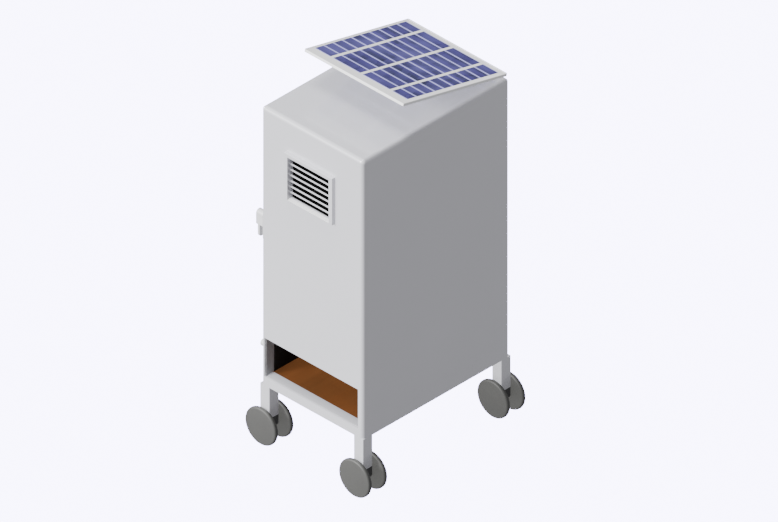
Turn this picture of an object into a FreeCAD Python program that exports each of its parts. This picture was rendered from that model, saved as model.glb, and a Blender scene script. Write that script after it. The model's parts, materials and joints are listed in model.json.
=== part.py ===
"""Wheeled solar cabinet with a tilting panel, a louvre, an open bay and a side service door.

Millimetres.  +Z is up, +X runs across the front, -Y is the front.  The origin is on the floor,
midway between the eight wheels.
"""
import FreeCAD, Part
import Sketcher
import os
import re

SIZES = {
    # cabinet body
    "body_width": 420, "body_depth": 615, "body_height": 1000, "sheet": 2.5, "corner_radius": 14,
    # base frame and legs
    "sill_height": 33, "sill_depth": 37, "side_tube_height": 20, "tube_wall": 3,
    "leg_size": 40, "leg_proud": 11, "leg_drop": 112, "leg_edge": 2.5,
    # wheels
    "axle_drop": 139.5, "wheel_radius": 64.5, "wheel_thickness": 19, "wheel_pitch": 67.5, "wheel_rim": 6,
    "axle_radius": 6, "axle_inset": 13, "collar_radius": 13, "hub_block": 38, "plug_length": 25,
    "running_gap": 0.05,
    "side_gap": 0.5, "seat_gap": 0.3,
    # open bay at the bottom of the front
    "bay_left": 8, "bay_right": 22, "bay_top": 171, "board_thickness": 12, "board_gap": 8.5,
    "liner_wall": 2, "liner_height": 150, "liner_front": 38, "liner_rear": 40,
    # louvre
    "vent_left": 115, "vent_width": 172, "vent_drop": 123.5, "vent_height": 153.7, "vent_border": 15,
    "vent_top_border": 12.5, "vent_sill": 2, "vent_proud": 12, "vent_sleeve": 2, "vent_depth": 24,
    "blade_pitch": 20.2, "blade_drop": 155.7, "blade_depth": 5, "blade_rise": 2.6, "blade_sheet": 1.2,
    "blade_setback": 1, "filter_front": 12, "fan_size": 120, "fan_depth": 25, "fan_hole": 56,
    "fan_plate": 2,
    "fan_hub": 20, "fan_blade": 52, "fan_pin": 2, "fan_arm": 6,
    # side door, its frame, hinges and locks
    "frame_depth": 5, "frame_front": 20, "frame_rear": 37, "frame_low": 50, "frame_top": 50,
    "door_margin": 12.5, "door_low": 12, "door_gap": 2.5, "door_skin": 2, "door_rim": 2, "door_corner": 5,
    "gasket_width": 5, "gasket_gap": 0.3, "hinge_radius": 4.5, "hinge_pin": 2.5, "hinge_inset": 6.5,
    "hinge_length": 90, "hinge_low": 130, "hinge_leaf": 2, "hinge_leaf_reach": 30,
    "lock_inset": 28, "lock_shaft": 4, "cam_width": 11, "cam_thickness": 2.5,
    "latch_height": 588, "latch_reach": 14, "latch_hub": 12.5, "latch_proud": 42.7,
    "latch_plate_width": 26,
    "latch_plate_length": 96, "latch_plate_thickness": 4, "grip_width": 20, "grip_length": 68,
    "latch_block": 38.5,
    "grip_proud": 38, "grip_thickness": 8, "key_radius": 7, "key_length": 12, "key_slot": 2,
    "lower_lock_height": 127, "lower_lock_radius": 11.5, "lower_lock_proud": 27,
    # rear cover
    "cover_side": 34, "cover_skin": 2, "rear_open_side": 55, "rear_open_low": 235, "rear_open_top": 60,
    "rear_slot_pitch": 18, "rear_slot_height": 6, "rear_slot_width": 180, "rear_slot_drop": 90,
    "screw_inset": 14, "screw_head": 6, "screw_head_height": 2.5, "gland_side": 22, "gland_drop": 60,
    "gland_flange": 10,
    "gland_thread": 6, "gland_nose": 8, "gland_bore": 4, "gland_proud": 12, "gland_flange_thickness": 4,
    # equipment
    "shelf_level": 200, "shelf_sheet": 2, "shelf_rail": 25, "shelf_rail_sheet": 3, "shelf_clear": 12,
    "battery_width": 195, "battery_depth": 130, "battery_height": 155, "battery_front": 90,
    "battery_left": 60,
    "terminal_radius": 8, "terminal_height": 12, "strap_width": 30, "strap_sheet": 1.5, "strap_foot": 22,
    "plate_sheet": 2, "plate_stand": 18, "plate_margin": 80, "plate_height": 620, "spacer_radius": 6,
    "controller_width": 130, "controller_height": 110, "controller_depth": 34, "controller_rise": 60,
    "box_width": 220, "box_height": 230, "box_depth": 70, "box_rise": 330,
    "rail_rise": 230, "rail_height": 35, "rail_depth": 7.5, "block_width": 8, "block_height": 44,
    "block_depth": 40,
    # solar panel, measured along the panel from its hinge axis
    "panel_width": 414, "panel_tail": 6, "panel_reach": 447, "panel_thickness": 9, "panel_rim": 5,
    "panel_floor": 3, "panel_tilt": 13.4, "panel_lift": 5, "laminate_recess": 0.6,
    "pivot_height": 7, "pivot_inset": 9, "pivot_radius": 5, "pivot_pin": 2.5, "pivot_side": 150,
    "pivot_length": 24, "pivot_clear": 3, "bracket_ear": 6, "bracket_sheet": 2, "bracket_depth": 22,
    "rail_side": 110, "rail_width": 10, "rail_wall": 2, "rail_slot": 8, "rail_start": 12,
    "rail_end": 400,
    "junction_width": 90, "junction_depth": 50, "junction_height": 6, "junction_start": 40,
    # prop that holds the panel: arm length equals the pivot spacing
    "prop_arm": 150, "prop_width": 8, "prop_radius": 4, "prop_bush": 3.7, "prop_rod": 2.5, "prop_gap": 1,
    "ear_sheet": 4, "ear_radius": 4.4, "ear_foot": 24, "ear_lift": 0.5,
}

LEFT = "(leg_proud - body_width) / 2"
RIGHT = "(leg_proud + body_width) / 2"
FRONT = "-(leg_proud + body_depth) / 2"
REAR = "(body_depth - leg_proud) / 2"
BASE = "(wheel_radius + axle_drop)"
ROOF = f"({BASE} + body_height)"
LEG_X = "(body_width + leg_proud - leg_size) / 2"
LEG_Y = "(body_depth + leg_proud - leg_size) / 2"
LEG_BOTTOM = f"({BASE} - leg_drop)"
VENT_RIGHT = "(vent_left + vent_width)"
VENT_LOW = "(body_height - vent_drop - vent_height)"
VENT_HIGH = "(body_height - vent_drop)"
PIVOT_Y = f"({REAR} - pivot_inset)"
PIVOT_Z = f"({ROOF} + pivot_height)"
CENTRE_X = f"(({LEFT} + {RIGHT}) / 2)"
BLADES = 7
REAR_SLOTS = 6
FAN_BLADES = 7
TERMINALS = 6

DOC = FreeCAD.newDocument("SolarCabinet")
SUBPARTS = []
X_AXIS, Y_AXIS, Z_AXIS = FreeCAD.Vector(1, 0, 0), FreeCAD.Vector(0, 1, 0), FreeCAD.Vector(0, 0, 1)
ALONG = {"x": FreeCAD.Rotation(Y_AXIS, 90), "y": FreeCAD.Rotation(X_AXIS, -90), "z": FreeCAD.Rotation()}


def fill_sheet():
    """Write every driving size into the sheet under its own alias."""
    sheet = DOC.addObject("Spreadsheet::Sheet", "Sizes")
    for row, (alias, value) in enumerate(SIZES.items(), start=1):
        sheet.set(f"A{row}", alias)
        sheet.set(f"B{row}", str(value))
        sheet.setAlias(f"B{row}", alias)
    DOC.recompute()


def bind(thing, path, formula):
    """Bind a property to a formula of size names."""
    text = re.sub(r"[a-z][a-z_]+", lambda word: "Sizes." + word.group(), str(formula))
    thing.setExpression(path, text.replace("Sizes.cos", "cos").replace("Sizes.sin", "sin"))


def move(thing, place, rotation=None):
    """Put a thing at a place given by three formulas."""
    if rotation is not None:
        thing.Placement = FreeCAD.Placement(FreeCAD.Vector(), rotation)
    for letter, formula in zip("xyz", place):
        bind(thing, f"Placement.Base.{letter}", formula)
    return thing


def keep(thing, name):
    """Name a finished sub-part and list it for export."""
    thing.Label = name
    SUBPARTS.append(thing)
    return thing


def box(name, low, high):
    """A box between two corners given as formulas."""
    solid = DOC.addObject("Part::Box", name)
    for side, start, end in zip(("Length", "Width", "Height"), low, high):
        bind(solid, side, f"({end}) - ({start})")
    return move(solid, low)


def rod(name, axis, radius, length, start):
    """A cylinder along x, y or z from its start point."""
    solid = DOC.addObject("Part::Cylinder", name)
    bind(solid, "Radius", radius)
    bind(solid, "Height", length)
    return move(solid, start, ALONG[axis])


def fuse(name, solids):
    """One solid made of several that touch or overlap."""
    result = DOC.addObject("Part::MultiFuse", name)
    result.Shapes = solids
    result.Refine = True
    return result


def cut(name, base, tools):
    """A solid with others taken away from it."""
    tool = tools[0] if len(tools) == 1 else group(name + "_tools", tools)
    result = DOC.addObject("Part::Cut", name)
    result.Base = base
    result.Tool = tool
    result.Refine = True
    return result


def common(name, first, second):
    """The part of one solid that lies inside another."""
    made = DOC.addObject("Part::Common", name)
    made.Base, made.Tool = first, second
    return made


def group(name, solids):
    """Separate solids that share one node."""
    result = DOC.addObject("Part::Compound", name)
    result.Links = solids
    return result


def body(name, corner, rotation=None):
    """A PartDesign body whose own origin lies at a corner given by formulas."""
    return move(DOC.addObject("PartDesign::Body", name), corner, rotation)


def sketch_on(owner, plane, lift):
    """An empty sketch on one of the body's own planes, lifted along the plane's normal."""
    sketch = owner.newObject("Sketcher::SketchObject", f"{owner.Name}_sketch")
    role = f"{plane}_Plane"
    sketch.AttachmentSupport = (next(p for p in owner.Origin.OriginFeatures if p.Role == role), [""])
    sketch.MapMode = "FlatFace"
    bind(sketch, "AttachmentOffset.Base.z", lift)
    return sketch


def rectangle(owner, plane, low, high, lift="0"):
    """A rectangle sketch between two corners of the plane."""
    sketch = sketch_on(owner, plane, lift)
    corners = [FreeCAD.Vector(x, y, 0) for x, y in ((1, 1), (9, 1), (9, 9), (1, 9))]
    for here, there in zip(corners, corners[1:] + corners[:1]):
        sketch.addGeometry(Part.LineSegment(here, there), False)
    for line in range(4):
        sketch.addConstraint(Sketcher.Constraint("Coincident", line, 2, (line + 1) % 4, 1))
        sketch.addConstraint(Sketcher.Constraint("Horizontal" if line % 2 == 0 else "Vertical", line))
    for point, corner in (((0, 1), low), ((2, 1), high)):
        for kind, formula in zip(("DistanceX", "DistanceY"), corner):
            index = sketch.addConstraint(Sketcher.Constraint(kind, -1, 1, *point, 5.0))
            bind(sketch, f"Constraints[{index}]", formula)
    return sketch


def circle(owner, plane, centre, radius, lift="0"):
    """A circle sketch."""
    sketch = sketch_on(owner, plane, lift)
    sketch.addGeometry(Part.Circle(FreeCAD.Vector(5, 5, 0), Z_AXIS, 3), False)
    for kind, formula in zip(("DistanceX", "DistanceY"), centre):
        index = sketch.addConstraint(Sketcher.Constraint(kind, -1, 1, 0, 3, 5.0))
        bind(sketch, f"Constraints[{index}]", formula)
    index = sketch.addConstraint(Sketcher.Constraint("Radius", 0, 3.0))
    bind(sketch, f"Constraints[{index}]", radius)
    return sketch


def pad(owner, sketch, length, backwards=False):
    """Raise a sketch into a solid."""
    feature = owner.newObject("PartDesign::Pad", f"{owner.Name}_pad")
    feature.Profile = sketch
    feature.Reversed = backwards
    bind(feature, "Length", length)
    return feature


def pocket(owner, sketch, depth, backwards=False):
    """Cut a sketch out of the body, and make sure that it removed material."""
    DOC.recompute()
    before = owner.Shape.Volume
    feature = owner.newObject("PartDesign::Pocket", f"{owner.Name}_pocket")
    feature.Profile = sketch
    feature.Reversed = backwards
    bind(feature, "Length", depth)
    DOC.recompute()
    if not owner.Shape.Volume < before:
        raise RuntimeError(f"{feature.Name} cuts nothing")
    return feature


def dress_edges(owner, kind, size_name, size, wanted):
    """Fillet or chamfer the edges of the body that pass the test."""
    DOC.recompute()
    tip = owner.Tip
    names = [f"Edge{n}" for n, edge in enumerate(tip.Shape.Edges, start=1) if wanted(edge)]
    feature = owner.newObject(f"PartDesign::{kind}", f"{owner.Name}_{kind.lower()}")
    feature.Base = (tip, names)
    bind(feature, size_name, size)
    DOC.recompute()
    return feature


def round_edges(owner, radius, wanted):
    """Round the edges of the body that pass the test."""
    return dress_edges(owner, "Fillet", "Radius", radius, wanted)


def runs_along(edge, axis):
    """Whether a straight edge is parallel to an axis."""
    ends = edge.Vertexes
    if len(ends) < 2 or not isinstance(edge.Curve, Part.Line):
        return False
    way = ends[1].Point - ends[0].Point
    return abs(way.dot(axis)) > 0.999 * way.Length


def middle(edge):
    """The middle of an edge, in the frame of its body."""
    return edge.CenterOfMass


def slab(low, high, corner=(LEFT, FRONT, BASE)):
    """Turn corners measured from the cabinet's own front-left-bottom corner into places in the frame."""
    return tuple(tuple(f"({base}) + ({value})" for base, value in zip(corner, point)) for point in (low,
                                                                                                    high))


def cabinet_box(name, low, high):
    """A box whose corners are measured from the cabinet's front-left-bottom corner."""
    return box(name, *slab(low, high))


def cabinet_rod(name, axis, radius, length, start):
    """A cylinder whose start is measured from the cabinet's front-left-bottom corner."""
    return rod(name, axis, radius, length, slab(start, start)[0])


def rounded_block(name, low, size, radius):
    """A block with rounded upright and top edges."""
    block = body(name, slab(low, low)[0])
    pad(block, rectangle(block, "XY", ("0", "0"), size[:2]), size[2])
    DOC.recompute()
    top = block.Shape.BoundBox.ZMax - block.Placement.Base.z
    round_edges(block, radius, lambda edge: runs_along(edge, Z_AXIS) or middle(edge).z > top - 1)
    return block


def make_shell():
    """The folded outer skin: front, rear and side sheets and the roof, welded edge to edge."""
    outer = rounded_block("shell_outside", ("0", "0", "0"), ("body_width", "body_depth", "body_height"),
                          "corner_radius")
    inner = rounded_block("shell_inside", ("sheet", "sheet", "-1"),
                          ("body_width - 2 * sheet", "body_depth - 2 * sheet", "body_height - sheet + 1"),
                          "corner_radius - sheet")
    through = "2 * sheet"
    sleeve = "(vent_sleeve + seat_gap)"
    openings = [
        cabinet_box("door_opening", ("-1", "frame_front", "frame_low"),
                    (through, "body_depth - frame_rear", "body_height - frame_top")),
        cabinet_box("bay_opening", ("bay_left", "-1", "sill_height"), ("body_width - bay_right", through,
                                                                       "bay_top")),
        cabinet_box("vent_opening", (f"vent_left - {sleeve}", "-1", f"{VENT_LOW} - {sleeve}"),
                    (f"{VENT_RIGHT} + {sleeve}", through, f"{VENT_HIGH} + {sleeve}")),
        cabinet_box("rear_opening", ("rear_open_side", f"body_depth - {through}", "rear_open_low"),
                    ("body_width - rear_open_side", "body_depth + 1", "body_height - rear_open_top")),
        cabinet_rod("gland_hole", "y", "gland_thread + seat_gap", "3 * sheet",
                    ("body_width - gland_side", f"body_depth - {through}", "body_height - gland_drop")),
    ]
    shell = cut("shell", outer, [inner] + openings)
    top, fold = "body_height - corner_radius", "corner_radius"
    rest_x, rest_y = f"body_width - {fold}", f"body_depth - {fold}"
    parts = {
        "front": (("-1", "-1", "-1"), ("body_width + 1", fold, top)),
        "rear": (("-1", rest_y, "-1"), ("body_width + 1", "body_depth + 1", top)),
        "left": (("-1", fold, "-1"), (fold, rest_y, top)),
        "right": ((rest_x, fold, "-1"), ("body_width + 1", rest_y, top)),
        "roof": (("-1", "-1", top), ("body_width + 1", "body_depth + 1", "body_height + 1")),
    }
    sheets = [common(f"{name}_sheet", shell, cabinet_box(f"{name}_zone", low, high))
              for name, (low, high) in parts.items()]
    keep(group("shell_sheets", sheets), "cabinet_shell")


def make_tube(name, low, high, axis):
    """A rectangular base tube, open at both ends, between two corners of the cabinet's own frame."""
    place = "xyz".index(axis)
    inner_low = [f"({value}) + tube_wall" for value in low]
    inner_high = [f"({value}) - tube_wall" for value in high]
    inner_low[place], inner_high[place] = f"({low[place]}) - 1", f"({high[place]}) + 1"
    outer = cabinet_box(name + "_outer", low, high)
    keep(cut(name, outer, [cabinet_box(name + "_inner", inner_low, inner_high)]), name)


def make_base():
    """Four tubes inside the skin's lower edge; the front one is the sill of the bay."""
    across = ("corner_radius", "body_width - corner_radius")
    along = ("sill_depth", "body_depth - sill_depth")
    make_tube("base_tube_front", (across[0], "sheet", "0"), (across[1], "sill_depth", "sill_height"), "x")
    make_tube("base_tube_rear", (across[0], "body_depth - sill_depth", "0"),
              (across[1], "body_depth - sheet", "side_tube_height"), "x")
    make_tube("base_tube_left", ("sheet", along[0], "0"), ("sill_depth", along[1], "side_tube_height"),
              "y")
    make_tube("base_tube_right", ("body_width - sill_depth", along[0], "0"),
              ("body_width - sheet", along[1], "side_tube_height"), "y")


CORNERS = [("front_left", -1, -1), ("front_right", 1, -1), ("rear_left", -1, 1), ("rear_right", 1, 1)]


def make_legs():
    """Square tube legs, closed at the top; they stand proud of the skin on the left and at the rear."""
    for name, side, end in CORNERS:
        leg = body("leg_" + name, (f"{side} * {LEG_X} - leg_size / 2", f"{end} * {LEG_Y} - leg_size / 2",
                                   LEG_BOTTOM))
        pad(leg, rectangle(leg, "XY", ("0", "0"), ("leg_size", "leg_size")), "leg_drop")
        round_edges(leg, "leg_edge", lambda edge: runs_along(edge, Z_AXIS))
        size, top = SIZES["leg_size"], SIZES["leg_drop"]

        def is_shoulder(edge):
            point = middle(edge)
            proud_left = side < 0 and point.x < 0.1 and runs_along(edge, Y_AXIS)
            proud_rear = end > 0 and point.y > size - 0.1 and runs_along(edge, X_AXIS)
            return point.z > top - 0.1 and (proud_left or proud_rear)

        if side < 0 or end > 0:
            dress_edges(leg, "Chamfer", "Size", "leg_edge", is_shoulder)
        inside = rectangle(leg, "XY", ("tube_wall", "tube_wall"), ("leg_size - tube_wall",
                                                                   "leg_size - tube_wall"))
        pocket(leg, inside, "leg_drop - tube_wall", backwards=True)
        keep(leg, "leg_" + name)


def make_hubs():
    """Blocks plugged into the legs' open ends, which hold the wheel axles."""
    blocks, axles = [], []
    for name, side, end in CORNERS:
        x, y = f"{side} * {LEG_X}", f"{end} * {LEG_Y}"
        half = "hub_block / 2"
        block = box(f"hub_box_{name}", (f"{x} - {half}", f"{y} - {half}", "wheel_radius"),
                    (f"{x} + {half}", f"{y} + {half}", LEG_BOTTOM))
        nose = rod(f"hub_nose_{name}", "y", half, "hub_block", (x, f"{y} - {half}", "wheel_radius"))
        inside = "(leg_size / 2 - tube_wall - seat_gap)"
        plug = box(f"hub_plug_{name}", (f"{x} - {inside}", f"{y} - {inside}", f"{LEG_BOTTOM} - 1"),
                   (f"{x} + {inside}", f"{y} + {inside}", f"{LEG_BOTTOM} + plug_length"))
        bore = rod(f"hub_bore_{name}", "y", "axle_radius", "hub_block + 2", (x, f"{y} - {half} - 1",
                                                                             "wheel_radius"))
        blocks.append(cut(f"hub_{name}", fuse(f"hub_solid_{name}", [block, nose, plug]), [bore]))
        reach = "(wheel_pitch / 2 - wheel_thickness / 2 + axle_inset)"
        axles.append(rod(f"axle_{name}", "y", "axle_radius", f"2 * {reach}",
                         (x, f"{y} - {reach}", "wheel_radius")))
    keep(group("hub_group", blocks), "hub_blocks")
    keep(group("axle_group", axles), "wheel_axles")


def make_wheels():
    """Two solid discs on each axle, closed on the outside, with a collar towards the hub block."""
    face = "(wheel_pitch - wheel_thickness) / 2"
    collar = f"({face} - hub_block / 2 - side_gap)"
    for name, side, end in CORNERS:
        for place, way in (("outer", end), ("inner", -end)):
            turn = FreeCAD.Rotation(X_AXIS, -90 * way)
            centre = (f"{side} * {LEG_X}", f"{end} * {LEG_Y} + {way} * {face}", "wheel_radius")
            wheel = body(f"wheel_{name}_{place}", centre, turn)
            pad(wheel, circle(wheel, "XY", ("0", "0"), "wheel_radius"), "wheel_thickness")
            round_edges(wheel, "wheel_rim", lambda edge: isinstance(edge.Curve, Part.Circle))
            pad(wheel, circle(wheel, "XY", ("0", "0"), "collar_radius"), collar, backwards=True)
            bore = circle(wheel, "XY", ("0", "0"), "axle_radius + running_gap", lift=f"-{collar}")
            pocket(wheel, bore, f"{collar} + axle_inset + side_gap", backwards=True)
            keep(wheel, wheel.Name)


def make_bay():
    """The floor board on the base tubes, the black lining on it and the painted jambs before it."""
    board_top = "side_tube_height + board_thickness"
    keep(cabinet_box("board", ("board_gap", "sill_depth", "side_tube_height"),
                     ("body_width - board_gap", "body_depth - board_gap", board_top)), "floor_board")
    top = f"{board_top} + liner_height"
    outer = cabinet_box("liner_outer", ("board_gap", "liner_front", board_top),
                        ("body_width - board_gap", "body_depth - liner_rear", top))
    inner = cabinet_box("liner_inner", ("board_gap + liner_wall", "liner_front - 1", f"{board_top} - 1"),
                        ("body_width - board_gap - liner_wall", "body_depth - liner_rear - liner_wall",
                         f"{top} - liner_wall"))
    keep(cut("liner", outer, [inner]), "bay_liner")
    starts = ("board_gap", "body_width - board_gap - liner_wall")
    jambs = [cabinet_box(f"jamb_{number}", (start, "2 * sheet", "sill_height"),
                         (f"{start} + liner_wall", "liner_front", top))
             for number, start in enumerate(starts)]
    keep(group("jambs", jambs), "bay_jambs")


def make_door_frame():
    """Four welded bars behind the door opening; the cams of both locks turn behind the front one."""
    low, high = "sill_height", "body_height - corner_radius"
    front, rear = "frame_front", "body_depth - frame_rear"
    bars = {
        "front": (("corner_radius", low), (front, high)),
        "rear": ((rear, low), ("body_depth - corner_radius", high)),
        "bottom": ((front, low), (rear, "frame_low")),
        "top": ((front, "body_height - frame_top"), (rear, high)),
    }
    keep(group("door_bars", [cabinet_box(f"{name}_bar", ("sheet", *start), ("frame_depth", *end))
                             for name, (start, end) in bars.items()]), "door_frame")


CAM_END = "(frame_depth + side_gap + cam_thickness)"
DOOR_LOW = ("-leg_proud", "door_margin", "door_low")
DOOR_HIGH = ("-door_gap", "body_depth - door_margin", "body_height - door_margin")


def make_door():
    """The lay-on side door: a shallow tray with folded edges, and its gasket."""
    door = body("door", slab(DOOR_LOW, DOOR_LOW)[0])
    length = "(body_depth - 2 * door_margin)"
    height = "(body_height - door_margin - door_low)"
    depth = "(leg_proud - door_gap)"
    pad(door, rectangle(door, "YZ", ("0", "0"), (length, height)), depth)
    round_edges(door, "door_corner", lambda edge: runs_along(edge, X_AXIS))
    hollow = rectangle(door, "YZ", ("door_rim", "door_rim"), (f"{length} - door_rim",
                                                              f"{height} - door_rim"),
                       lift="door_skin")
    pocket(door, hollow, depth, backwards=True)
    for level in ("latch_height", "lower_lock_height"):
        hole = circle(door, "YZ", ("lock_inset - door_margin", f"{level} - door_low"),
                      "lock_shaft + running_gap")
        pocket(door, hole, "door_skin + 1", backwards=True)
    keep(door, "side_door")
    inside = ("-leg_proud + door_skin", "door_margin + door_rim", "door_low + door_rim")
    outside = ("-gasket_gap", "body_depth - door_margin - door_rim",
               "body_height - door_margin - door_rim")
    outer = cabinet_box("gasket_outer", inside, outside)
    middle_low = ("-leg_proud", "door_margin + door_rim + gasket_width",
                  "door_low + door_rim + gasket_width")
    middle_high = ("1", "body_depth - door_margin - door_rim - gasket_width",
                   "body_height - door_margin - door_rim - gasket_width")
    keep(cut("gasket", outer, [cabinet_box("gasket_inner", middle_low, middle_high)]), "door_gasket")


def make_door_hinges():
    """Three lift-type hinges: a lower knuckle on the body, an upper one on the door, one pin through both."""
    x, y = "-(leg_proud) / 2", "body_depth - hinge_inset"
    door_leaves, body_leaves, pins = [], [], []
    for number in range(3):
        low = f"hinge_low + {number} * (body_height - 2 * hinge_low - hinge_length) / 2"
        split, high = f"{low} + hinge_length / 2", f"{low} + hinge_length"
        knuckle = cabinet_rod(f"body_knuckle_{number}", "z", "hinge_radius", "hinge_length / 2",
                              (x, y, low))
        web = cabinet_box(f"body_web_{number}", (f"{x} - hinge_leaf", y, low),
                          (f"{x} + hinge_leaf", "body_depth + hinge_leaf", split))
        leaf = cabinet_box(f"body_leaf_{number}", (f"{x} - hinge_leaf", "body_depth", low),
                           ("hinge_leaf_reach", "body_depth + hinge_leaf", split))
        bore = cabinet_rod(f"body_bore_{number}", "z", "hinge_pin", "hinge_length + 2",
                           (x, y, f"{low} - 1"))
        body_leaves.append(cut(f"body_hinge_{number}", fuse(f"body_hinge_solid_{number}",
                                                            [knuckle, web, leaf]), [bore]))
        upper = f"{split} + side_gap"
        knuckle = cabinet_rod(f"door_knuckle_{number}", "z", "hinge_radius",
                              "hinge_length / 2 - side_gap",
                              (x, y, upper))
        leaf = cabinet_box(f"door_leaf_{number}", (f"{x} - hinge_radius", "body_depth - door_margin",
                                                   upper),
                           (f"{x} + hinge_leaf", f"{y} - hinge_leaf", high))
        bore = cabinet_rod(f"door_bore_{number}", "z", "hinge_pin + running_gap", "hinge_length + 2",
                           (x, y, f"{low} - 1"))
        door_leaves.append(cut(f"door_hinge_{number}", fuse(f"door_hinge_solid_{number}",
                                                            [knuckle, leaf]), [bore]))
        pins.append(cabinet_rod(f"door_pin_{number}", "z", "hinge_pin", "hinge_length", (x, y, low)))
    keep(group("door_hinge_group", door_leaves), "door_hinge_leaves")
    keep(group("body_hinge_group", body_leaves), "body_hinge_leaves")
    keep(group("door_pin_group", pins), "door_hinge_pins")


def make_latch():
    """The turning handle with its key barrel and cam, and the small lock below it."""
    skin, level = "-leg_proud", "latch_height"
    half = "latch_plate_width / 2"
    plate_low = f"{level} + latch_hub + 2 - latch_plate_length"
    plate = cabinet_box("latch_plate_solid", (f"{skin} - latch_plate_thickness", f"lock_inset - {half}",
                                              plate_low),
                        (skin, f"lock_inset + {half}", f"{plate_low} + latch_plate_length"))
    hole = cabinet_rod("latch_plate_hole", "x", "lock_shaft + running_gap",
                       "leg_proud + latch_plate_thickness",
                       (f"{skin} - latch_plate_thickness - 1", "lock_inset", level))
    keep(cut("latch_plate_cut", plate, [hole]), "latch_plate")
    outer = f"{skin} - latch_plate_thickness - seat_gap"
    hub = cabinet_rod("latch_hub_solid", "x", "latch_hub", f"latch_proud + ({outer})",
                      ("-latch_proud", "lock_inset", level))
    grip_half = "grip_width / 2"
    grip = cabinet_box("latch_grip", ("-grip_proud", f"lock_inset - {grip_half}",
                                      f"{level} - latch_hub - grip_length"),
                       ("-grip_proud + grip_thickness", f"lock_inset + {grip_half}", level))
    block = cabinet_box("latch_block_solid", ("-latch_proud", "lock_inset - latch_hub",
                                              f"{level} - latch_block"),
                        (outer, "lock_inset + latch_hub", level))
    shaft = cabinet_rod("latch_shaft", "x", "lock_shaft", f"{CAM_END} - ({outer}) + 1",
                        (f"{outer} - 1", "lock_inset", level))
    pocket_bore = cabinet_rod("latch_key_bore", "x", "key_radius + running_gap", "key_length",
                              ("-latch_proud", "lock_inset", level))
    keep(cut("latch_handle_cut", fuse("latch_handle_solid", [hub, block, grip, shaft]), [pocket_bore]),
         "latch_handle")
    barrel = cabinet_rod("key_barrel_solid", "x", "key_radius", "key_length - seat_gap",
                         ("-latch_proud", "lock_inset", level))
    slot = cabinet_box("key_barrel_slot", ("-latch_proud - 1", "lock_inset - key_slot / 2",
                                           f"{level} - key_radius / 2"),
                       ("-latch_proud + key_length / 2", "lock_inset + key_slot / 2",
                        f"{level} + key_radius / 2"))
    keep(cut("key_barrel_cut", barrel, [slot]), "key_barrel")
    keep(make_cam("latch_cam_cut", level), "latch_cam")
    level = "lower_lock_height"
    knob = cabinet_rod("lower_knob", "x", "lower_lock_radius", "lower_lock_proud - leg_proud - seat_gap",
                       ("-lower_lock_proud", "lock_inset", level))
    slot = cabinet_box("lower_slot", ("-lower_lock_proud - 1", "lock_inset - key_slot / 2",
                                      f"{level} - key_radius / 2"),
                       ("-lower_lock_proud + key_length / 2", "lock_inset + key_slot / 2",
                        f"{level} + key_radius / 2"))
    shaft = cabinet_rod("lower_shaft", "x", "lock_shaft", f"{CAM_END} + leg_proud + 1",
                        ("-leg_proud - 1", "lock_inset", level))
    keep(cut("lower_lock_cut", fuse("lower_lock_solid", [knob, shaft]), [slot]), "lower_lock")
    keep(make_cam("lower_cam_cut", level), "lower_lock_cam")


def make_cam(name, level):
    """A flat cam on a lock's shaft, just behind the door frame, pointing up."""
    blade = cabinet_box(name + "_blade", ("frame_depth + side_gap", "lock_inset - cam_width / 2",
                                          f"{level} - cam_width / 2"),
                        (CAM_END, "lock_inset + cam_width / 2", f"{level} + latch_reach"))
    bore = cabinet_rod(name + "_bore", "x", "lock_shaft", "2 * frame_depth", ("0", "lock_inset", level))
    return cut(name, blade, [bore])


def make_rear_cover():
    """The screwed-on rear cover, a tray with slots for the outgoing air, and the cable gland beside it."""
    low = ("cover_side", "body_depth", "door_low")
    high = ("body_width - cover_side", "body_depth + leg_proud", "body_height - door_margin")
    tray = cabinet_box("cover_outer", low, high)
    hollow = cabinet_box("cover_inner", ("cover_side + cover_skin", "body_depth - 1",
                                         "door_low + cover_skin"),
                         ("body_width - cover_side - cover_skin", "body_depth + leg_proud - cover_skin",
                          "body_height - door_margin - cover_skin"))
    tools = [hollow]
    for number in range(REAR_SLOTS):
        bottom = f"body_height - rear_slot_drop - {number} * rear_slot_pitch"
        tools.append(cabinet_box(f"cover_slot_{number}", ("(body_width - rear_slot_width) / 2",
                                                          "body_depth", bottom),
                                 ("(body_width + rear_slot_width) / 2", "body_depth + leg_proud + 1",
                                  f"{bottom} + rear_slot_height")))
    keep(cut("cover", tray, tools), "rear_cover")
    heads = []
    for side in ("cover_side + screw_inset", "body_width - cover_side - screw_inset"):
        for level in ("door_low + screw_inset", "body_height / 2",
                      "body_height - door_margin - screw_inset"):
            name = f"screw_{len(heads)}"
            head = cabinet_rod(f"{name}_head", "y", "screw_head", "screw_head_height",
                               (side, "body_depth + leg_proud", level))
            heads.append(head)
    keep(group("screws", heads), "rear_cover_screws")
    x, z = "body_width - gland_side", "body_height - gland_drop"
    flange = cabinet_rod("gland_flange_solid", "y", "gland_flange", "gland_flange_thickness",
                         (x, "body_depth", z))
    nose = cabinet_rod("gland_nose_solid", "y", "gland_nose", "gland_proud", (x, "body_depth", z))
    thread = cabinet_rod("gland_thread_solid", "y", "gland_thread", "gland_proud",
                         (x, "body_depth - gland_proud / 2", z))
    bore = cabinet_rod("gland_bore_solid", "y", "gland_bore", "2 * gland_proud",
                       (x, "body_depth - gland_proud / 2 - 1", z))
    keep(cut("gland_cut", fuse("gland_solid", [flange, nose, thread]), [bore]), "cable_gland")


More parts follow.
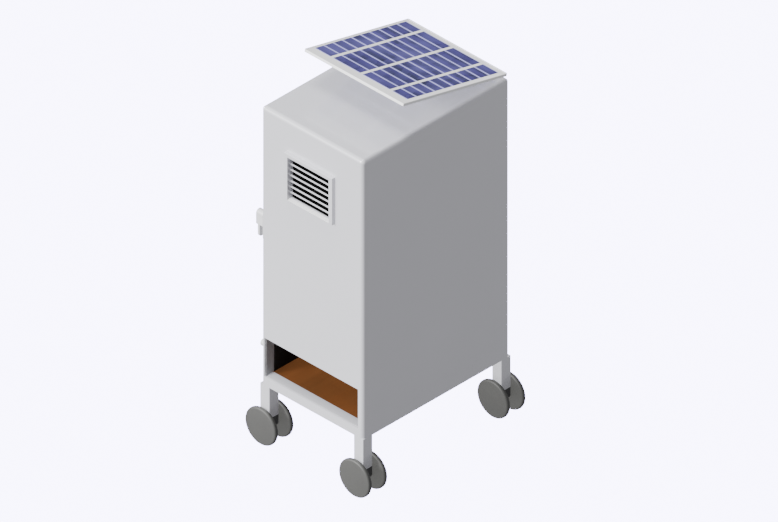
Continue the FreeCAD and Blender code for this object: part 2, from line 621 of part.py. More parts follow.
def make_louvre():
    """The proud frame with its sleeve, the seven blades, and the black filter behind them."""
    border_low = ("vent_left - vent_border", "-vent_proud", f"{VENT_LOW} - vent_sill")
    border_high = (f"{VENT_RIGHT} + vent_border", "0", f"{VENT_HIGH} + vent_top_border")
    flange = cabinet_box("vent_flange", border_low, border_high)
    sleeve = cabinet_box("vent_sleeve_outer", ("vent_left - vent_sleeve", "-1",
                                               f"{VENT_LOW} - vent_sleeve"),
                         (f"{VENT_RIGHT} + vent_sleeve", "vent_depth", f"{VENT_HIGH} + vent_sleeve"))
    hole = cabinet_box("vent_hole", ("vent_left", "-vent_proud - 1", VENT_LOW),
                       (VENT_RIGHT, "vent_depth + 1", VENT_HIGH))
    ring = cut("vent_ring", fuse("vent_solid", [flange, sleeve]), [hole])
    plate = ("blade_setback", "blade_setback + blade_sheet")
    first = "(body_height - blade_drop + blade_pitch)"
    header = cabinet_box("vent_header", ("vent_left", plate[0], first), (VENT_RIGHT, plate[1], VENT_HIGH))
    keep(fuse("vent_frame", [ring, header]), "louvre_frame")
    blades = []
    for number in range(BLADES):
        blade = body(f"blade_{number}", slab(("vent_left", "0", "0"), ("0", "0", "0"))[0])
        profile = sketch_on(blade, "YZ", "0")
        level = f"body_height - blade_drop - {number} * blade_pitch"
        corners = (("blade_setback", level), ("blade_setback + blade_depth", f"{level} + blade_rise"),
                   ("blade_setback + blade_depth", f"{level} + blade_rise + blade_sheet"),
                   ("blade_setback", f"{level} + blade_sheet"))
        start = 800 - 20 * number
        rough = [FreeCAD.Vector(x, start + y, 0) for x, y in ((1, 0), (8, 4), (8, 5), (1, 1))]
        for here, there in zip(rough, rough[1:] + rough[:1]):
            profile.addGeometry(Part.LineSegment(here, there), False)
        for line, corner in enumerate(corners):
            profile.addConstraint(Sketcher.Constraint("Coincident", line, 2, (line + 1) % 4, 1))
            for kind, formula in zip(("DistanceX", "DistanceY"), corner):
                index = profile.addConstraint(Sketcher.Constraint(kind, -1, 1, line, 1, 5.0))
                bind(profile, f"Constraints[{index}]", formula)
        pad(blade, profile, "vent_width")
        blades.append(blade)
    keep(group("blade_group", blades), "louvre_blades")
    keep(cabinet_box("filter", ("vent_left", "filter_front", VENT_LOW), (VENT_RIGHT, "vent_depth",
                                                                         VENT_HIGH)), "filter_pad")


def make_fan():
    """The fan that draws air through the louvre: a plate with a square housing, and its rotor on a pin."""
    x, z = "(vent_left + vent_width / 2)", f"({VENT_LOW} + vent_height / 2)"
    start = "(vent_depth + fan_plate)"
    end = f"({start} + fan_depth)"
    border = "vent_sleeve"
    plate = cabinet_box("fan_plate_solid", (f"vent_left - {border}", "vent_depth",
                                            f"{VENT_LOW} - {border}"),
                        (f"{VENT_RIGHT} + {border}", start, f"{VENT_HIGH} + {border}"))
    case = cabinet_box("fan_case", (f"{x} - fan_size / 2", start, f"{z} - fan_size / 2"),
                       (f"{x} + fan_size / 2", end, f"{z} + fan_size / 2"))
    hole = cabinet_rod("fan_hole_solid", "y", "fan_hole", "2 * fan_depth + fan_plate",
                       (x, "vent_depth - 1", z))
    case = cut("fan_case_open", fuse("fan_case_solid", [plate, case]), [hole])
    arm_start = f"{end} - fan_plate"
    arms = [cabinet_box("fan_arm_across", (f"{x} - fan_size / 2 + 1", arm_start, f"{z} - fan_arm / 2"),
                        (f"{x} + fan_size / 2 - 1", end, f"{z} + fan_arm / 2")),
            cabinet_box("fan_arm_upright", (f"{x} - fan_arm / 2", arm_start, f"{z} - fan_size / 2 + 1"),
                        (f"{x} + fan_arm / 2", end, f"{z} + fan_size / 2 - 1"))]
    back = cabinet_rod("fan_back", "y", "fan_hub", "fan_plate", (x, arm_start, z))
    pin = cabinet_rod("fan_pin_solid", "y", "fan_pin", "fan_depth - 2 * fan_plate + 1",
                      (x, f"{start} + fan_plate - 1", z))
    keep(fuse("fan_frame", [case, back, pin] + arms), "fan_housing")
    hub = DOC.addObject("Part::Prism", "fan_hub_solid")
    hub.Polygon = FAN_BLADES
    bind(hub, "Circumradius", "fan_hub")
    bind(hub, "Height", "fan_depth - 2 * fan_plate - 2 * side_gap")
    move(hub, slab((x, f"{start} + fan_plate", z), ("0", "0", "0"))[0], ALONG["y"])
    blades = []
    for number in range(FAN_BLADES):
        blade = DOC.addObject("Part::Box", f"fan_blade_{number}")
        bind(blade, "Length", "fan_blade - fan_hub + 4")
        bind(blade, "Width", "fan_plate")
        bind(blade, "Height", "fan_depth - 4 * fan_plate")
        blade.Placement = FreeCAD.Placement(FreeCAD.Vector(), FreeCAD.Rotation(X_AXIS, 60))
        bind(blade, "Placement.Base.x", "fan_hub - 4")
        bind(blade, "Placement.Base.y", "fan_depth - 4 * fan_plate")
        turned = group(f"fan_blade_turned_{number}", [blade])
        turn = FreeCAD.Rotation(Y_AXIS, 360 * number / FAN_BLADES)
        blades.append(move(turned, slab((x, f"{start} + fan_plate", z), ("0", "0", "0"))[0], turn))
    bore = cabinet_rod("fan_bore", "y", "fan_pin + running_gap", "2 * fan_depth", (x, "0", z))
    keep(cut("fan_wheel", fuse("fan_wheel_solid", [hub] + blades), [bore]), "fan_rotor")


def make_equipment():
    """The shelf above the bay with the battery, and the upright plate with the electrical units."""
    rails = []
    for name, wall, way in (("front", "sheet", 1), ("rear", "body_depth - sheet", -1)):
        legs = []
        for part, deep, tall in (("flat", "shelf_rail", "shelf_rail_sheet"),
                                 ("upright", "shelf_rail_sheet", "shelf_rail")):
            ends = (wall, f"{wall} + {way} * {deep}")
            low, high = ends if way > 0 else ends[::-1]
            legs.append(cabinet_box(f"rail_{name}_{part}", ("corner_radius", low,
                                                            f"shelf_level - {tall}"),
                                    ("body_width - corner_radius", high, "shelf_level")))
        rails.append(fuse(f"rail_{name}", legs))
    keep(group("rails", rails), "shelf_rails")
    top = "(shelf_level + shelf_sheet)"
    keep(cabinet_box("shelf", ("shelf_clear", "shelf_clear", "shelf_level"),
                     ("body_width - shelf_clear", "body_depth - shelf_clear", top)), "equipment_shelf")
    low = ("battery_left", "battery_front", top)
    high = ("battery_left + battery_width", "battery_front + battery_depth", f"{top} + battery_height")
    case = cabinet_box("battery_case", low, high)
    posts = [cabinet_rod(f"battery_post_{number}", "z", "terminal_radius", "terminal_height + 1",
                         (f"battery_left + {offset}",
                          "battery_front + battery_depth - 3 * terminal_radius",
                          f"{top} + battery_height - 1"))
             for number, offset in enumerate(("3 * terminal_radius",
                                              "battery_width - 3 * terminal_radius"))]
    keep(fuse("battery_solid", [case] + posts), "battery")
    middle_x = "(battery_left + battery_width / 2)"
    strap_x = (f"{middle_x} - strap_width / 2", f"{middle_x} + strap_width / 2")
    over = cabinet_box("strap_over", (strap_x[0], "battery_front - strap_sheet", top),
                       (strap_x[1], "battery_front + battery_depth + strap_sheet",
                        f"{top} + battery_height + strap_sheet"))
    feet = cabinet_box("strap_feet", (strap_x[0], "battery_front - strap_foot", top),
                       (strap_x[1], "battery_front + battery_depth + strap_foot", f"{top} + strap_sheet"))
    inside = cabinet_box("strap_inside", (f"{strap_x[0]} - 1", "battery_front", f"{top} - 1"),
                         (f"{strap_x[1]} + 1", "battery_front + battery_depth",
                          f"{top} + battery_height"))
    keep(cut("strap", fuse("strap_solid", [over, feet]), [inside]), "battery_strap")
    face = "(body_width - sheet - plate_stand - plate_sheet)"
    plate = cabinet_box("plate", (face, "plate_margin", top),
                        (f"{face} + plate_sheet", "body_depth - plate_margin", f"{top} + plate_height"))
    spacers = [cabinet_rod(f"spacer_{y}_{z}", "x", "spacer_radius", "plate_stand + 1",
                           (f"{face} + plate_sheet - 1", depth, level))
               for y, depth in enumerate(("plate_margin + 30", "body_depth - plate_margin - 30"))
               for z, level in enumerate((f"{top} + 40", f"{top} + plate_height - 40"))]
    keep(fuse("plate_solid", [plate] + spacers), "mounting_plate")
    unit(face, top, "charge_controller", "controller")
    unit(face, top, "control_box", "box")
    rail = cabinet_box("din_rail", (f"{face} - rail_depth", "plate_margin + 60", f"{top} + rail_rise"),
                       (face, "body_depth - plate_margin - 60", f"{top} + rail_rise + rail_height"))
    blocks = [cabinet_box(f"block_{number}", (f"{face} - rail_depth - block_depth",
                                              f"body_depth / 2 + {start}",
                                              f"{top} + rail_rise - (block_height - rail_height) / 2"),
                          (f"{face} - rail_depth", f"body_depth / 2 + {start} + block_width",
                           f"{top} + rail_rise + (block_height + rail_height) / 2"))
              for number, start in enumerate(f"{n} * (block_width + side_gap)" for n in range(TERMINALS))]
    keep(group("terminals", [rail] + blocks), "terminal_blocks")


def unit(face, top, name, prefix):
    """An electrical unit on the mounting plate, centred between its ends."""
    keep(cabinet_box(name + "_solid", (f"{face} - {prefix}_depth", f"(body_depth - {prefix}_width) / 2",
                                       f"{top} + {prefix}_rise"),
                     (face, f"(body_depth + {prefix}_width) / 2",
                      f"{top} + {prefix}_rise + {prefix}_height")), name)


def tilt(thing, turns, place=("0", PIVOT_Y, PIVOT_Z)):
    """Turn a finished piece about the panel's axis direction by a multiple of the panel's tilt."""
    thing.Placement = FreeCAD.Placement(FreeCAD.Vector(), FreeCAD.Rotation(FreeCAD.Vector(-1, 0, 0), 10))
    bind(thing, "Placement.Rotation.Angle", f"{turns} * panel_tilt")
    for letter, formula in zip("xyz", place):
        bind(thing, f"Placement.Base.{letter}", formula)
    return thing


def across(name, low, high):
    """A box in the panel's own frame: x across the cabinet, then distance from the axis, then height."""
    return box(name, (low[0], f"-({high[1]})", low[2]), (high[0], f"-({low[1]})", high[2]))


def pair(name, low, high):
    """The same box on the left and on the right of the cabinet's middle."""
    left = across(f"{name}_left", (f"{CENTRE_X} - ({high[0]})", low[1], low[2]),
                  (f"{CENTRE_X} - ({low[0]})", high[1], high[2]))
    right = across(f"{name}_right", (f"{CENTRE_X} + ({low[0]})", low[1], low[2]),
                   (f"{CENTRE_X} + ({high[0]})", high[1], high[2]))
    return left, right


def sideways_rod(name, radius, low, high, reach="0"):
    """A rod along x in the panel's own frame, mirrored to both sides of the cabinet's middle."""
    length = f"({high}) - ({low})"
    left = rod(f"{name}_left", "x", radius, length, (f"{CENTRE_X} - ({high})", f"-({reach})", "0"))
    right = rod(f"{name}_right", "x", radius, length, (f"{CENTRE_X} + ({low})", f"-({reach})", "0"))
    return left, right


def make_panel():
    """The tray that carries the laminate, its two rails with hinge knuckles, and the junction box."""
    half = "panel_width / 2"
    low = (f"{CENTRE_X} - {half}", "-panel_tail", "panel_lift")
    high = (f"{CENTRE_X} + {half}", "panel_reach", "panel_lift + panel_thickness")
    tray = across("tray_outer", low, high)
    floor = "panel_lift + panel_floor"
    recess = across("tray_recess", (f"{low[0]} + panel_rim", "-panel_tail + panel_rim", floor),
                    (f"{high[0]} - panel_rim", "panel_reach - panel_rim",
                     "panel_lift + panel_thickness + 1"))
    keep(tilt(cut("tray", tray, [recess]), 1), "panel_tray")
    laminate = across("laminate_solid", (f"{low[0]} + panel_rim", "-panel_tail + panel_rim", floor),
                      (f"{high[0]} - panel_rim", "panel_reach - panel_rim",
                       "panel_lift + panel_thickness - laminate_recess"))
    keep(tilt(group("laminate", [laminate]), 1), "solar_laminate")
    outer = pair("rail_outer", ("rail_side", "rail_start", "-rail_slot / 2 - rail_wall"),
                 ("rail_side + rail_width", "rail_end", "panel_lift"))
    slots = pair("rail_slot_box", ("rail_side - 1", "2 * prop_arm * 0.8", "-rail_slot / 2"),
                 ("rail_side + rail_width - rail_wall", "2 * prop_arm + 2 * rail_slot", "rail_slot / 2"))
    rails = [cut(f"rail_{number}", solid, [slot]) for number,
             (solid, slot) in enumerate(zip(outer, slots))]
    keep(tilt(group("panel_rail_group", rails), 1), "panel_rails")
    ears = sideways_rod("knuckle", "pivot_radius", "pivot_side - pivot_length / 2",
                        "pivot_side + pivot_length / 2")
    webs = pair("knuckle_web", ("pivot_side - pivot_length / 2", "-1", "0"),
                ("pivot_side + pivot_length / 2", "bracket_depth", "panel_lift"))
    bores = sideways_rod("knuckle_bore", "pivot_pin + running_gap", "pivot_side - pivot_length",
                         "pivot_side + pivot_length")
    knuckles = [cut(f"panel_knuckle_{number}", fuse(f"panel_knuckle_solid_{number}", [ear, web]), [bore])
                for number, (ear, web, bore) in enumerate(zip(ears, webs, bores))]
    keep(tilt(group("panel_knuckle_group", knuckles), 1), "panel_knuckles")
    keep(tilt(group("junction",
                    [across("junction_solid", (f"{CENTRE_X} - junction_width / 2", "junction_start",
                                                           "panel_lift - junction_height"),
                                        (f"{CENTRE_X} + junction_width / 2",
                                         "junction_start + junction_depth",
                                         "panel_lift"))]), 1), "junction_box")


def make_roof_brackets():
    """Clevises on the roof for the panel, ears further forward for the prop, and all four pins."""
    brackets = []
    drop = "-pivot_height"
    for number, way in enumerate((-1, 1)):
        for part in (-1, 1):
            off = f"{part} * (pivot_length / 2 + side_gap + bracket_ear / 2) - bracket_ear / 2"
            start = f"{CENTRE_X} + {way} * pivot_side + {off}"
            name = f"bracket_{number}_{part + 1}"
            ear = rod(f"{name}_ear", "x", "pivot_radius", "bracket_ear", (start, "0", "0"))
            foot = box(f"{name}_foot", (start, "-bracket_depth", drop),
                       (f"{start} + bracket_ear", "-pivot_clear", "0"))
            brackets.append(fuse(name, [ear, foot]))
    bores = sideways_rod("bracket_bore", "pivot_pin", "pivot_side - pivot_length",
                         "pivot_side + pivot_length")
    cuts = [cut(f"bracket_cut_{number}", bracket, [bores[number // 2]])
            for number, bracket in enumerate(brackets)]
    keep(move(group("bracket_group", cuts), ("0", PIVOT_Y, PIVOT_Z)), "panel_hinge_brackets")
    pin_reach = "(pivot_length / 2 + side_gap + bracket_ear)"
    pins = sideways_rod("pivot_pin_rod", "pivot_pin", f"pivot_side - {pin_reach}",
                        f"pivot_side + {pin_reach}")
    keep(move(group("pivot_pin_group", list(pins)), ("0", PIVOT_Y, PIVOT_Z)), "panel_hinge_pins")
    inner = "(rail_side - prop_gap - prop_width - side_gap - ear_sheet)"
    ears = sideways_rod("prop_ear", "ear_radius", inner, f"{inner} + ear_sheet")
    feet = pair("prop_foot", (inner, "-ear_foot / 2", drop),
                (f"{inner} + ear_sheet", "ear_foot / 2", "ear_lift"))
    bases = pair("prop_base", (f"{inner} - ear_foot", "-ear_foot / 2", drop),
                 (f"{inner} + ear_sheet", "ear_foot / 2", f"{drop} + bracket_sheet"))
    axles = sideways_rod("prop_axle", "prop_rod", f"{inner} + 1", "rail_side - prop_gap")
    solids = [fuse(f"prop_ear_{number}", list(parts))
              for number, parts in enumerate(zip(ears, feet, bases, axles))]
    keep(move(group("prop_ear_group", solids), ("0", f"{PIVOT_Y} - prop_arm", PIVOT_Z)), "prop_brackets")


def make_prop():
    """Two arms joined by a cross rod whose ends carry slide bushes in the panel's rails."""
    inner = "(rail_side - prop_gap - prop_width)"
    outer = "(rail_side - prop_gap)"
    place = ("0", f"{PIVOT_Y} - prop_arm", PIVOT_Z)
    bars = pair("arm_bar", (inner, "0", "-prop_radius"), (outer, "prop_arm", "prop_radius"))
    roots = sideways_rod("arm_root", "prop_radius", inner, outer)
    tips = sideways_rod("arm_tip", "prop_radius", inner, outer, "prop_arm")
    root_bores = sideways_rod("arm_root_bore", "prop_rod + running_gap", f"{inner} - 1", f"{outer} + 1")
    tip_bores = sideways_rod("arm_tip_bore", "prop_rod", f"{inner} - 1", f"{outer} + 1", "prop_arm")
    arms = [cut(f"arm_{number}", fuse(f"arm_solid_{number}", [bar, root, tip]), [root_bore, tip_bore])
            for number, (bar, root, tip, root_bore, tip_bore)
            in enumerate(zip(bars, roots, tips, root_bores, tip_bores))]
    keep(tilt(group("arm_group", arms), 2, place), "prop_arms")
    reach = "(rail_side + rail_width - rail_wall - side_gap)"
    shaft = rod("cross_rod", "x", "prop_rod", f"2 * {reach}", (f"{CENTRE_X} - {reach}", "-prop_arm", "0"))
    bushes = sideways_rod("bush", "prop_bush", "rail_side + side_gap", reach, "prop_arm")
    keep(tilt(fuse("cross_rod_solid", [shaft, *bushes]), 2, place), "prop_cross_rod")


def check_document():
    """Stop if an object failed or a sub-part has no valid solid."""
    for thing in DOC.Objects:
        if "Invalid" in thing.State or "Error" in thing.State:
            raise RuntimeError(f"{thing.Name} failed: {thing.State}")
    for piece in SUBPARTS:
        if piece.Shape.isNull() or not piece.Shape.isValid() or not piece.Shape.Solids:
            raise RuntimeError(f"{piece.Label} has no valid solid")


def main():
    fill_sheet()
    for make in (make_shell, make_base, make_legs, make_hubs, make_wheels, make_bay, make_door_frame,
                 make_door,
                 make_door_hinges, make_latch, make_rear_cover, make_louvre, make_fan, make_equipment,
                 make_panel,
                 make_roof_brackets, make_prop):
        make()
    DOC.recompute()
    check_document()
    os.makedirs("parts", exist_ok=True)
    for piece in SUBPARTS:
        piece.Shape.exportStep(f"parts/{piece.Label}.step")
    print(len(SUBPARTS), "sub-parts written")


main()
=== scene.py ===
import json
import math
from contextlib import contextmanager

import bpy
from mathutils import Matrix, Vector


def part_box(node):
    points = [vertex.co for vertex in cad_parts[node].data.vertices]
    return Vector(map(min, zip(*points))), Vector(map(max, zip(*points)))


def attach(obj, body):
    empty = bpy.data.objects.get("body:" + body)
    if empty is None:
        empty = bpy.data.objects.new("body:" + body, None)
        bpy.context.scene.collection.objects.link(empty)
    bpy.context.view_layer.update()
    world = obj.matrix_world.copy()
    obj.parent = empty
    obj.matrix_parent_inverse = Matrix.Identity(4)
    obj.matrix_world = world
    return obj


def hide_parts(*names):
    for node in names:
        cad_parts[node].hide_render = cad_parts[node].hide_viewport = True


bl_info = {
    "name": "Wheeled Solar Cabinet",
    "version": (1, 0, 0),
    "blender": (4, 5, 0),
    "location": "View3D > Sidebar > Cabinet",
    "description": "Models and dresses a wheeled cabinet with a tilting solar panel",
    "category": "Object",
}

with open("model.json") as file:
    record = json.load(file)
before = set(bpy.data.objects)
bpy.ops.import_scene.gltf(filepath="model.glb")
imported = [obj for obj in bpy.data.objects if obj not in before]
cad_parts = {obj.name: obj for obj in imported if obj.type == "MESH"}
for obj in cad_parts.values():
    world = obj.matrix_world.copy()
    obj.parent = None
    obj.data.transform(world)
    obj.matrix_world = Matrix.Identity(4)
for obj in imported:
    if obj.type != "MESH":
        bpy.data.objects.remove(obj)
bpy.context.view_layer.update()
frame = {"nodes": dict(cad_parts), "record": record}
CORNERS = ("front_left", "front_right", "rear_left", "rear_right")

# Lamps and surroundings
BACKDROP_SHOWN, BACKDROP_FILL, FILL_COLOUR = 12.5, 0.50, (0.90, 0.90, 0.93)
KEY, OPEN_KEY, TOP = 2.6, 5.6, 1.6
KEY_FROM, TOP_FROM = (-0.45, -1.0, 0.55), (-0.15, -0.1, 1.0)
AZIMUTH, ELEVATION, FRAME_WIDTH, CAMERA_BACK = 44.55, 34.33, 2.3127, 5
AIM, AIM_RIGHT, AIM_UP, LAMP_DISTANCE = (0.0055, -0.0055, 0.204), 0.01055, 0.3255, 3

# Lengths in metres: PAST is how far a cutter reaches past a surface, FIT is a gap between parts
PAST = 0.01
BODY_LEFT, SKIN, FIT = -0.2045, 0.002, 0.0003
SILL_TOP, DOOR_FRONT, GLAND_SIDE, GLAND_DROP, GLAND_HOLE = 0.033, 0.020, 0.022, 0.060, 0.0063
LEG_EDGE, LEG_SLOPE = 0.0028, 0.0075
WHEEL_THICK, WHEEL_COLLAR, COLLAR_RADIUS, BORE, BORE_DEPTH = 0.019, 0.00475, 0.013, 0.00605, 0.0185
BLADES, BLADE_PITCH, BLADE_SHEET = 7, 0.0202, 0.0012
BLADE_RISE, BLADE_DEPTH, BLADE_LIFT = 0.0019, 0.0042, 0.0006
STRIP_EDGE, STRIP_RISE = 0.0004, 0.0025
LOCK_SHAFT, SHAFT_HOLE, KEY_RADIUS, KEY_HOLE, KNOB_RADIUS = 0.004, 0.0043, 0.007, 0.00715, 0.0115
LATCH_HUB, LATCH_BLOCK, DOOR_PROUD = 0.0125, 0.0385, 0.011
GRIP_HALF, GRIP_FAR, GRIP_NEAR = 0.010, 0.038, 0.030
SLOT_HALF, SLOT_LONG, SLOT_DEEP = 0.001, 0.0042, 0.006
VENTS, VENT_PITCH, VENT_HALF, VENT_HIGH, VENT_DROP = 6, 0.018, 0.090, 0.006, 0.090
SCREW, CROSS_LONG, CROSS_HALF, CROSS_DEEP = 0.006, 0.0035, 0.0006, 0.0012
PANEL_X, PANEL_HALF, PANEL_TAIL, PANEL_REACH = 0.0055, 0.207, 0.006, 0.447
PANEL_LIFT, PANEL_THICK, GLASS_RECESS, CELL_THICK = 0.005, 0.009, 0.0006, 0.0004
BANDS_RIGHT, BANDS_BACK, STRIPS = -0.003, 0.006, 10
DOME_RINGS = 6

SNAP, ALIGNED = 1e-5, 0.999


# ---------------------------------------------------------------- sizes and colours

def length(name, text, value):
    """A length property in metres."""
    return bpy.props.FloatProperty(name=name, description=text, default=value, min=0.0,
                                   subtype="DISTANCE", unit="LENGTH", precision=4)


def colour(name, text, value):
    """A colour property."""
    return bpy.props.FloatVectorProperty(name=name, description=text, default=value, size=3,
                                         min=0.0, max=1.0, subtype="COLOR")


class CabinetSizes(bpy.types.PropertyGroup):
    """Sizes of the dressed model that the frame doesn't give."""
    sheet: length("Sheet", "Thickness of the skin", 0.0025)
    corner: length("Corner radius", "Radius of the front right, roof front and roof right edges", 0.014)
    seam: length("Seam radius", "Radius of the skin's other upright and roof edges", 0.004)
    frame_width: length("Door frame width", "Width of the flange round the door opening", 0.037)
    door_low: length("Door opening low", "Height of the door opening above the skin's lower edge", 0.050)
    door_top: length("Door opening top", "Distance of the door opening from the roof", 0.050)
    bay_left: length("Bay left", "Distance of the bay opening from the left side", 0.008)
    bay_right: length("Bay right", "Distance of the bay opening from the right side", 0.022)
    bay_top: length("Bay top", "Height of the bay opening's upper edge above the skin's lower edge", 0.171)
    rear_side: length("Rear opening side", "Distance of the rear opening from the sides", 0.055)
    rear_low: length("Rear opening low", "Height of the rear opening above the skin's lower edge", 0.235)
    rear_top: length("Rear opening top", "Distance of the rear opening from the roof", 0.060)
    tube_wall: length("Tube wall", "Wall of the square tubes", 0.003)
    rim: length("Wheel rim", "Radius of the wheels' rims", 0.0066)
    dome: length("Wheel dome", "How far the wheels' faces bulge", 0.0028)
    panel_rim: length("Panel rim", "Width of the panel's edge profile", 0.005)
    cell: length("Cell", "Width of a full cell band", 0.1115)
    half_cell: length("Half cell", "Width of a half cell band", 0.063)
    cell_gap: length("Cell gap", "White gap between two bands", 0.012)
    cells_long: length("Cell run", "Length of the bands along the panel", 0.398)
    ribbon: length("Ribbon", "Width of the pale line between two strips", 0.0072)
    tilt: bpy.props.FloatProperty(name="Tilt", description="Slope of the panel at rest",
                                  default=math.radians(13.4), subtype="ANGLE", unit="ROTATION")


class CabinetColours(bpy.types.PropertyGroup):
    """Base colours of the finishes."""
    paint: colour("Paint", "Powder coat of the cabinet", (0.63, 0.63, 0.67))
    frame_paint: colour("Frame paint", "Paint of the inner steelwork", (0.34, 0.34, 0.35))
    board: colour("Board", "Film-faced floor board", (0.098, 0.040, 0.011))
    # Near-pure black: painted shade of the inside of the bay.
    shade_lining: colour("Lining", "Black lining of the bay", (0.0015, 0.0012, 0.0014))
    wheel: colour("Wheel", "Cast nylon wheels", (0.066, 0.066, 0.063))
    hub: colour("Hub", "Moulded hub blocks", (0.06, 0.06, 0.062))
    steel: colour("Steel", "Plated steel", (0.56, 0.56, 0.57))
    lock: colour("Lock", "Die-cast latch parts", (0.66, 0.66, 0.68))
    rubber: colour("Rubber", "Door seal", (0.012, 0.012, 0.012))
    plastic: colour("Plastic", "Black moulded plastic", (0.018, 0.018, 0.019))
    battery: colour("Battery", "Battery case", (0.035, 0.038, 0.048))
    unit: colour("Unit", "Casing of the charge controller", (0.03, 0.07, 0.18))
    casing: colour("Casing", "Casing of the control box", (0.42, 0.43, 0.44))
    terminal: colour("Terminal", "Terminal blocks", (0.33, 0.36, 0.30))
    white: colour("White", "Panel rim and backing", (0.95, 0.95, 0.96))
    cell: colour("Cell", "Solar cells", (0.032, 0.024, 0.15))
    cell_light: colour("Cell light", "Lighter grain of the cells", (0.11, 0.10, 0.36))
    ribbon: colour("Ribbon", "Pale lines on the cells", (0.45, 0.44, 0.95))
    aluminium: colour("Aluminium", "Extruded aluminium", (0.62, 0.63, 0.65))
    backdrop: colour("Backdrop", "Surroundings", (0.70, 0.665, 1.0))


def sizes():
    """The sizes of the open scene."""
    return bpy.context.scene.cabinet_sizes


def colours():
    """The colours of the open scene."""
    return bpy.context.scene.cabinet_colours


# ---------------------------------------------------------------- shader maths

class Wire:
    """A socket that takes part in Python arithmetic by adding Math nodes."""

    def __init__(self, finish, socket):
        self.finish, self.socket = finish, socket

    def math(self, operation, first, second=None, clamp=False):
        values = {0: first} if second is None else {0: first, 1: second}
        return self.finish.node("ShaderNodeMath", {"operation": operation, "use_clamp": clamp}, values)

    def __add__(self, other):
        return self.math("ADD", self, other)

    def __sub__(self, other):
        return self.math("SUBTRACT", self, other)

    def __mul__(self, other):
        return self.math("MULTIPLY", self, other)

    def __truediv__(self, other):
        return self.math("DIVIDE", self, other)

    def __rsub__(self, other):
        return self.math("SUBTRACT", other, self)

    __radd__, __rmul__ = __add__, __mul__

    def limited(self):
        return self.math("ADD", self, 0.0, clamp=True)

    def fraction(self):
        return self.math("FRACT", self)


class Finish:
    """A node material: pattern nodes feed one Principled shader."""

    def __init__(self, name, **constants):
        self.material = bpy.data.materials.new(name)
        self.material.use_nodes = True
        self.tree = self.material.node_tree
        self.shader = next(node for node in self.tree.nodes if node.type == "BSDF_PRINCIPLED")
        self.set(**constants)

    def link(self, value, socket):
        if isinstance(value, Wire):
            self.tree.links.new(value.socket, socket)
        else:
            socket.default_value = value

    def node(self, kind, settings=None, inputs=None, output=0):
        made = self.tree.nodes.new(kind)
        for name, value in (settings or {}).items():
            setattr(made, name, value)
        for name, value in (inputs or {}).items():
            self.link(value, made.inputs[name])
        return Wire(self, made.outputs[output])

    def set(self, **values):
        for name, value in values.items():
            if isinstance(value, (tuple, list)) or type(value).__name__ in ("Color", "bpy_prop_array"):
                value = (*value, 1.0)
            self.link(value, self.shader.inputs[name.replace("_", " ")])

    def place(self, scale=(1, 1, 1)):
        coordinates = self.node("ShaderNodeTexCoord", output="Object")
        return self.node("ShaderNodeMapping", {}, {"Vector": coordinates, "Scale": scale})

    def noise(self, scale, detail=3.0, roughness=0.5, vector=None):
        inputs = {"Vector": vector or self.place(), "Scale": scale, "Detail": detail,
                  "Roughness": roughness}
        return self.node("ShaderNodeTexNoise", {}, inputs, "Fac")

    def cells(self, scale, vector=None, output="Distance"):
        inputs = {"Vector": vector or self.place(), "Scale": scale}
        return self.node("ShaderNodeTexVoronoi", {}, inputs, output)

    def along(self, axis, vector=None):
        return self.node("ShaderNodeSeparateXYZ", {}, {"Vector": vector or self.place()}, axis)

    def ramp(self, value, low, high):
        return self.node("ShaderNodeMapRange", {}, {"Value": value, "From Min": low, "From Max": high})

    def mix(self, factor, first, second):
        made = self.tree.nodes.new("ShaderNodeMix")
        made.data_type = "RGBA"
        self.link(factor, made.inputs[0])
        for value, index in ((first, 6), (second, 7)):
            self.link(value if isinstance(value, Wire) else (*value, 1.0), made.inputs[index])
        return Wire(self, made.outputs[2])

    def bump(self, height, distance, strength=1.0):
        inputs = {"Height": height, "Distance": distance, "Strength": strength}
        normal = self.node("ShaderNodeBump", {}, inputs)
        self.link(normal, self.shader.inputs["Normal"])
        return self


def shade(colour_value, factor):
    """A colour made darker or lighter."""
    return tuple(min(1.0, channel * factor) for channel in colour_value)


FINISHES = {}


def finish(name):
    """The finished material of that name, made on first use."""
    if name not in FINISHES:
        FINISHES[name] = RECIPES[name](name).material
    return FINISHES[name]


def powder_coat(name, base, coat=0.9, roughness=0.34):
    """Smooth powder coat: fine orange peel, faint clouding, and darker, rougher, less glossy patches towards
    the bottom.
    """
    made = Finish(name, Coat_Roughness=0.12, Coat_IOR=1.8)
    cloud = made.noise(3.0, 2.0)
    fine = made.noise(90.0, 4.0)
    # Patches of darker, rougher, less glossy paint that fade out upwards between heights 0.16 and 0.42: the
    # paint gets darker towards the bottom.
    low_fade = 1.0 - made.ramp(made.along("Z"), 0.16, 0.42)
    low_patches = (low_fade * made.noise(14.0, 5.0) * 0.35).limited()
    tone = made.mix(cloud, shade(base, 0.965), shade(base, 1.03))
    tone = made.mix(low_patches, tone, shade(base, 0.82))
    made.set(Base_Color=tone, Roughness=roughness + fine * 0.05 + low_patches * 0.2,
             Coat_Weight=coat - low_patches * 0.3)
    return made.bump(made.noise(420.0, 2.0), 0.00012, 0.35)


def make_cabinet_paint(name):
    return powder_coat(name, colours().paint)


def make_frame_paint(name):
    return powder_coat(name, colours().frame_paint, coat=0.1, roughness=0.45)


def make_casing_paint(name):
    return powder_coat(name, colours().casing, coat=0.1, roughness=0.42)


def make_unit_paint(name):
    return powder_coat(name, colours().unit, coat=0.2, roughness=0.38)


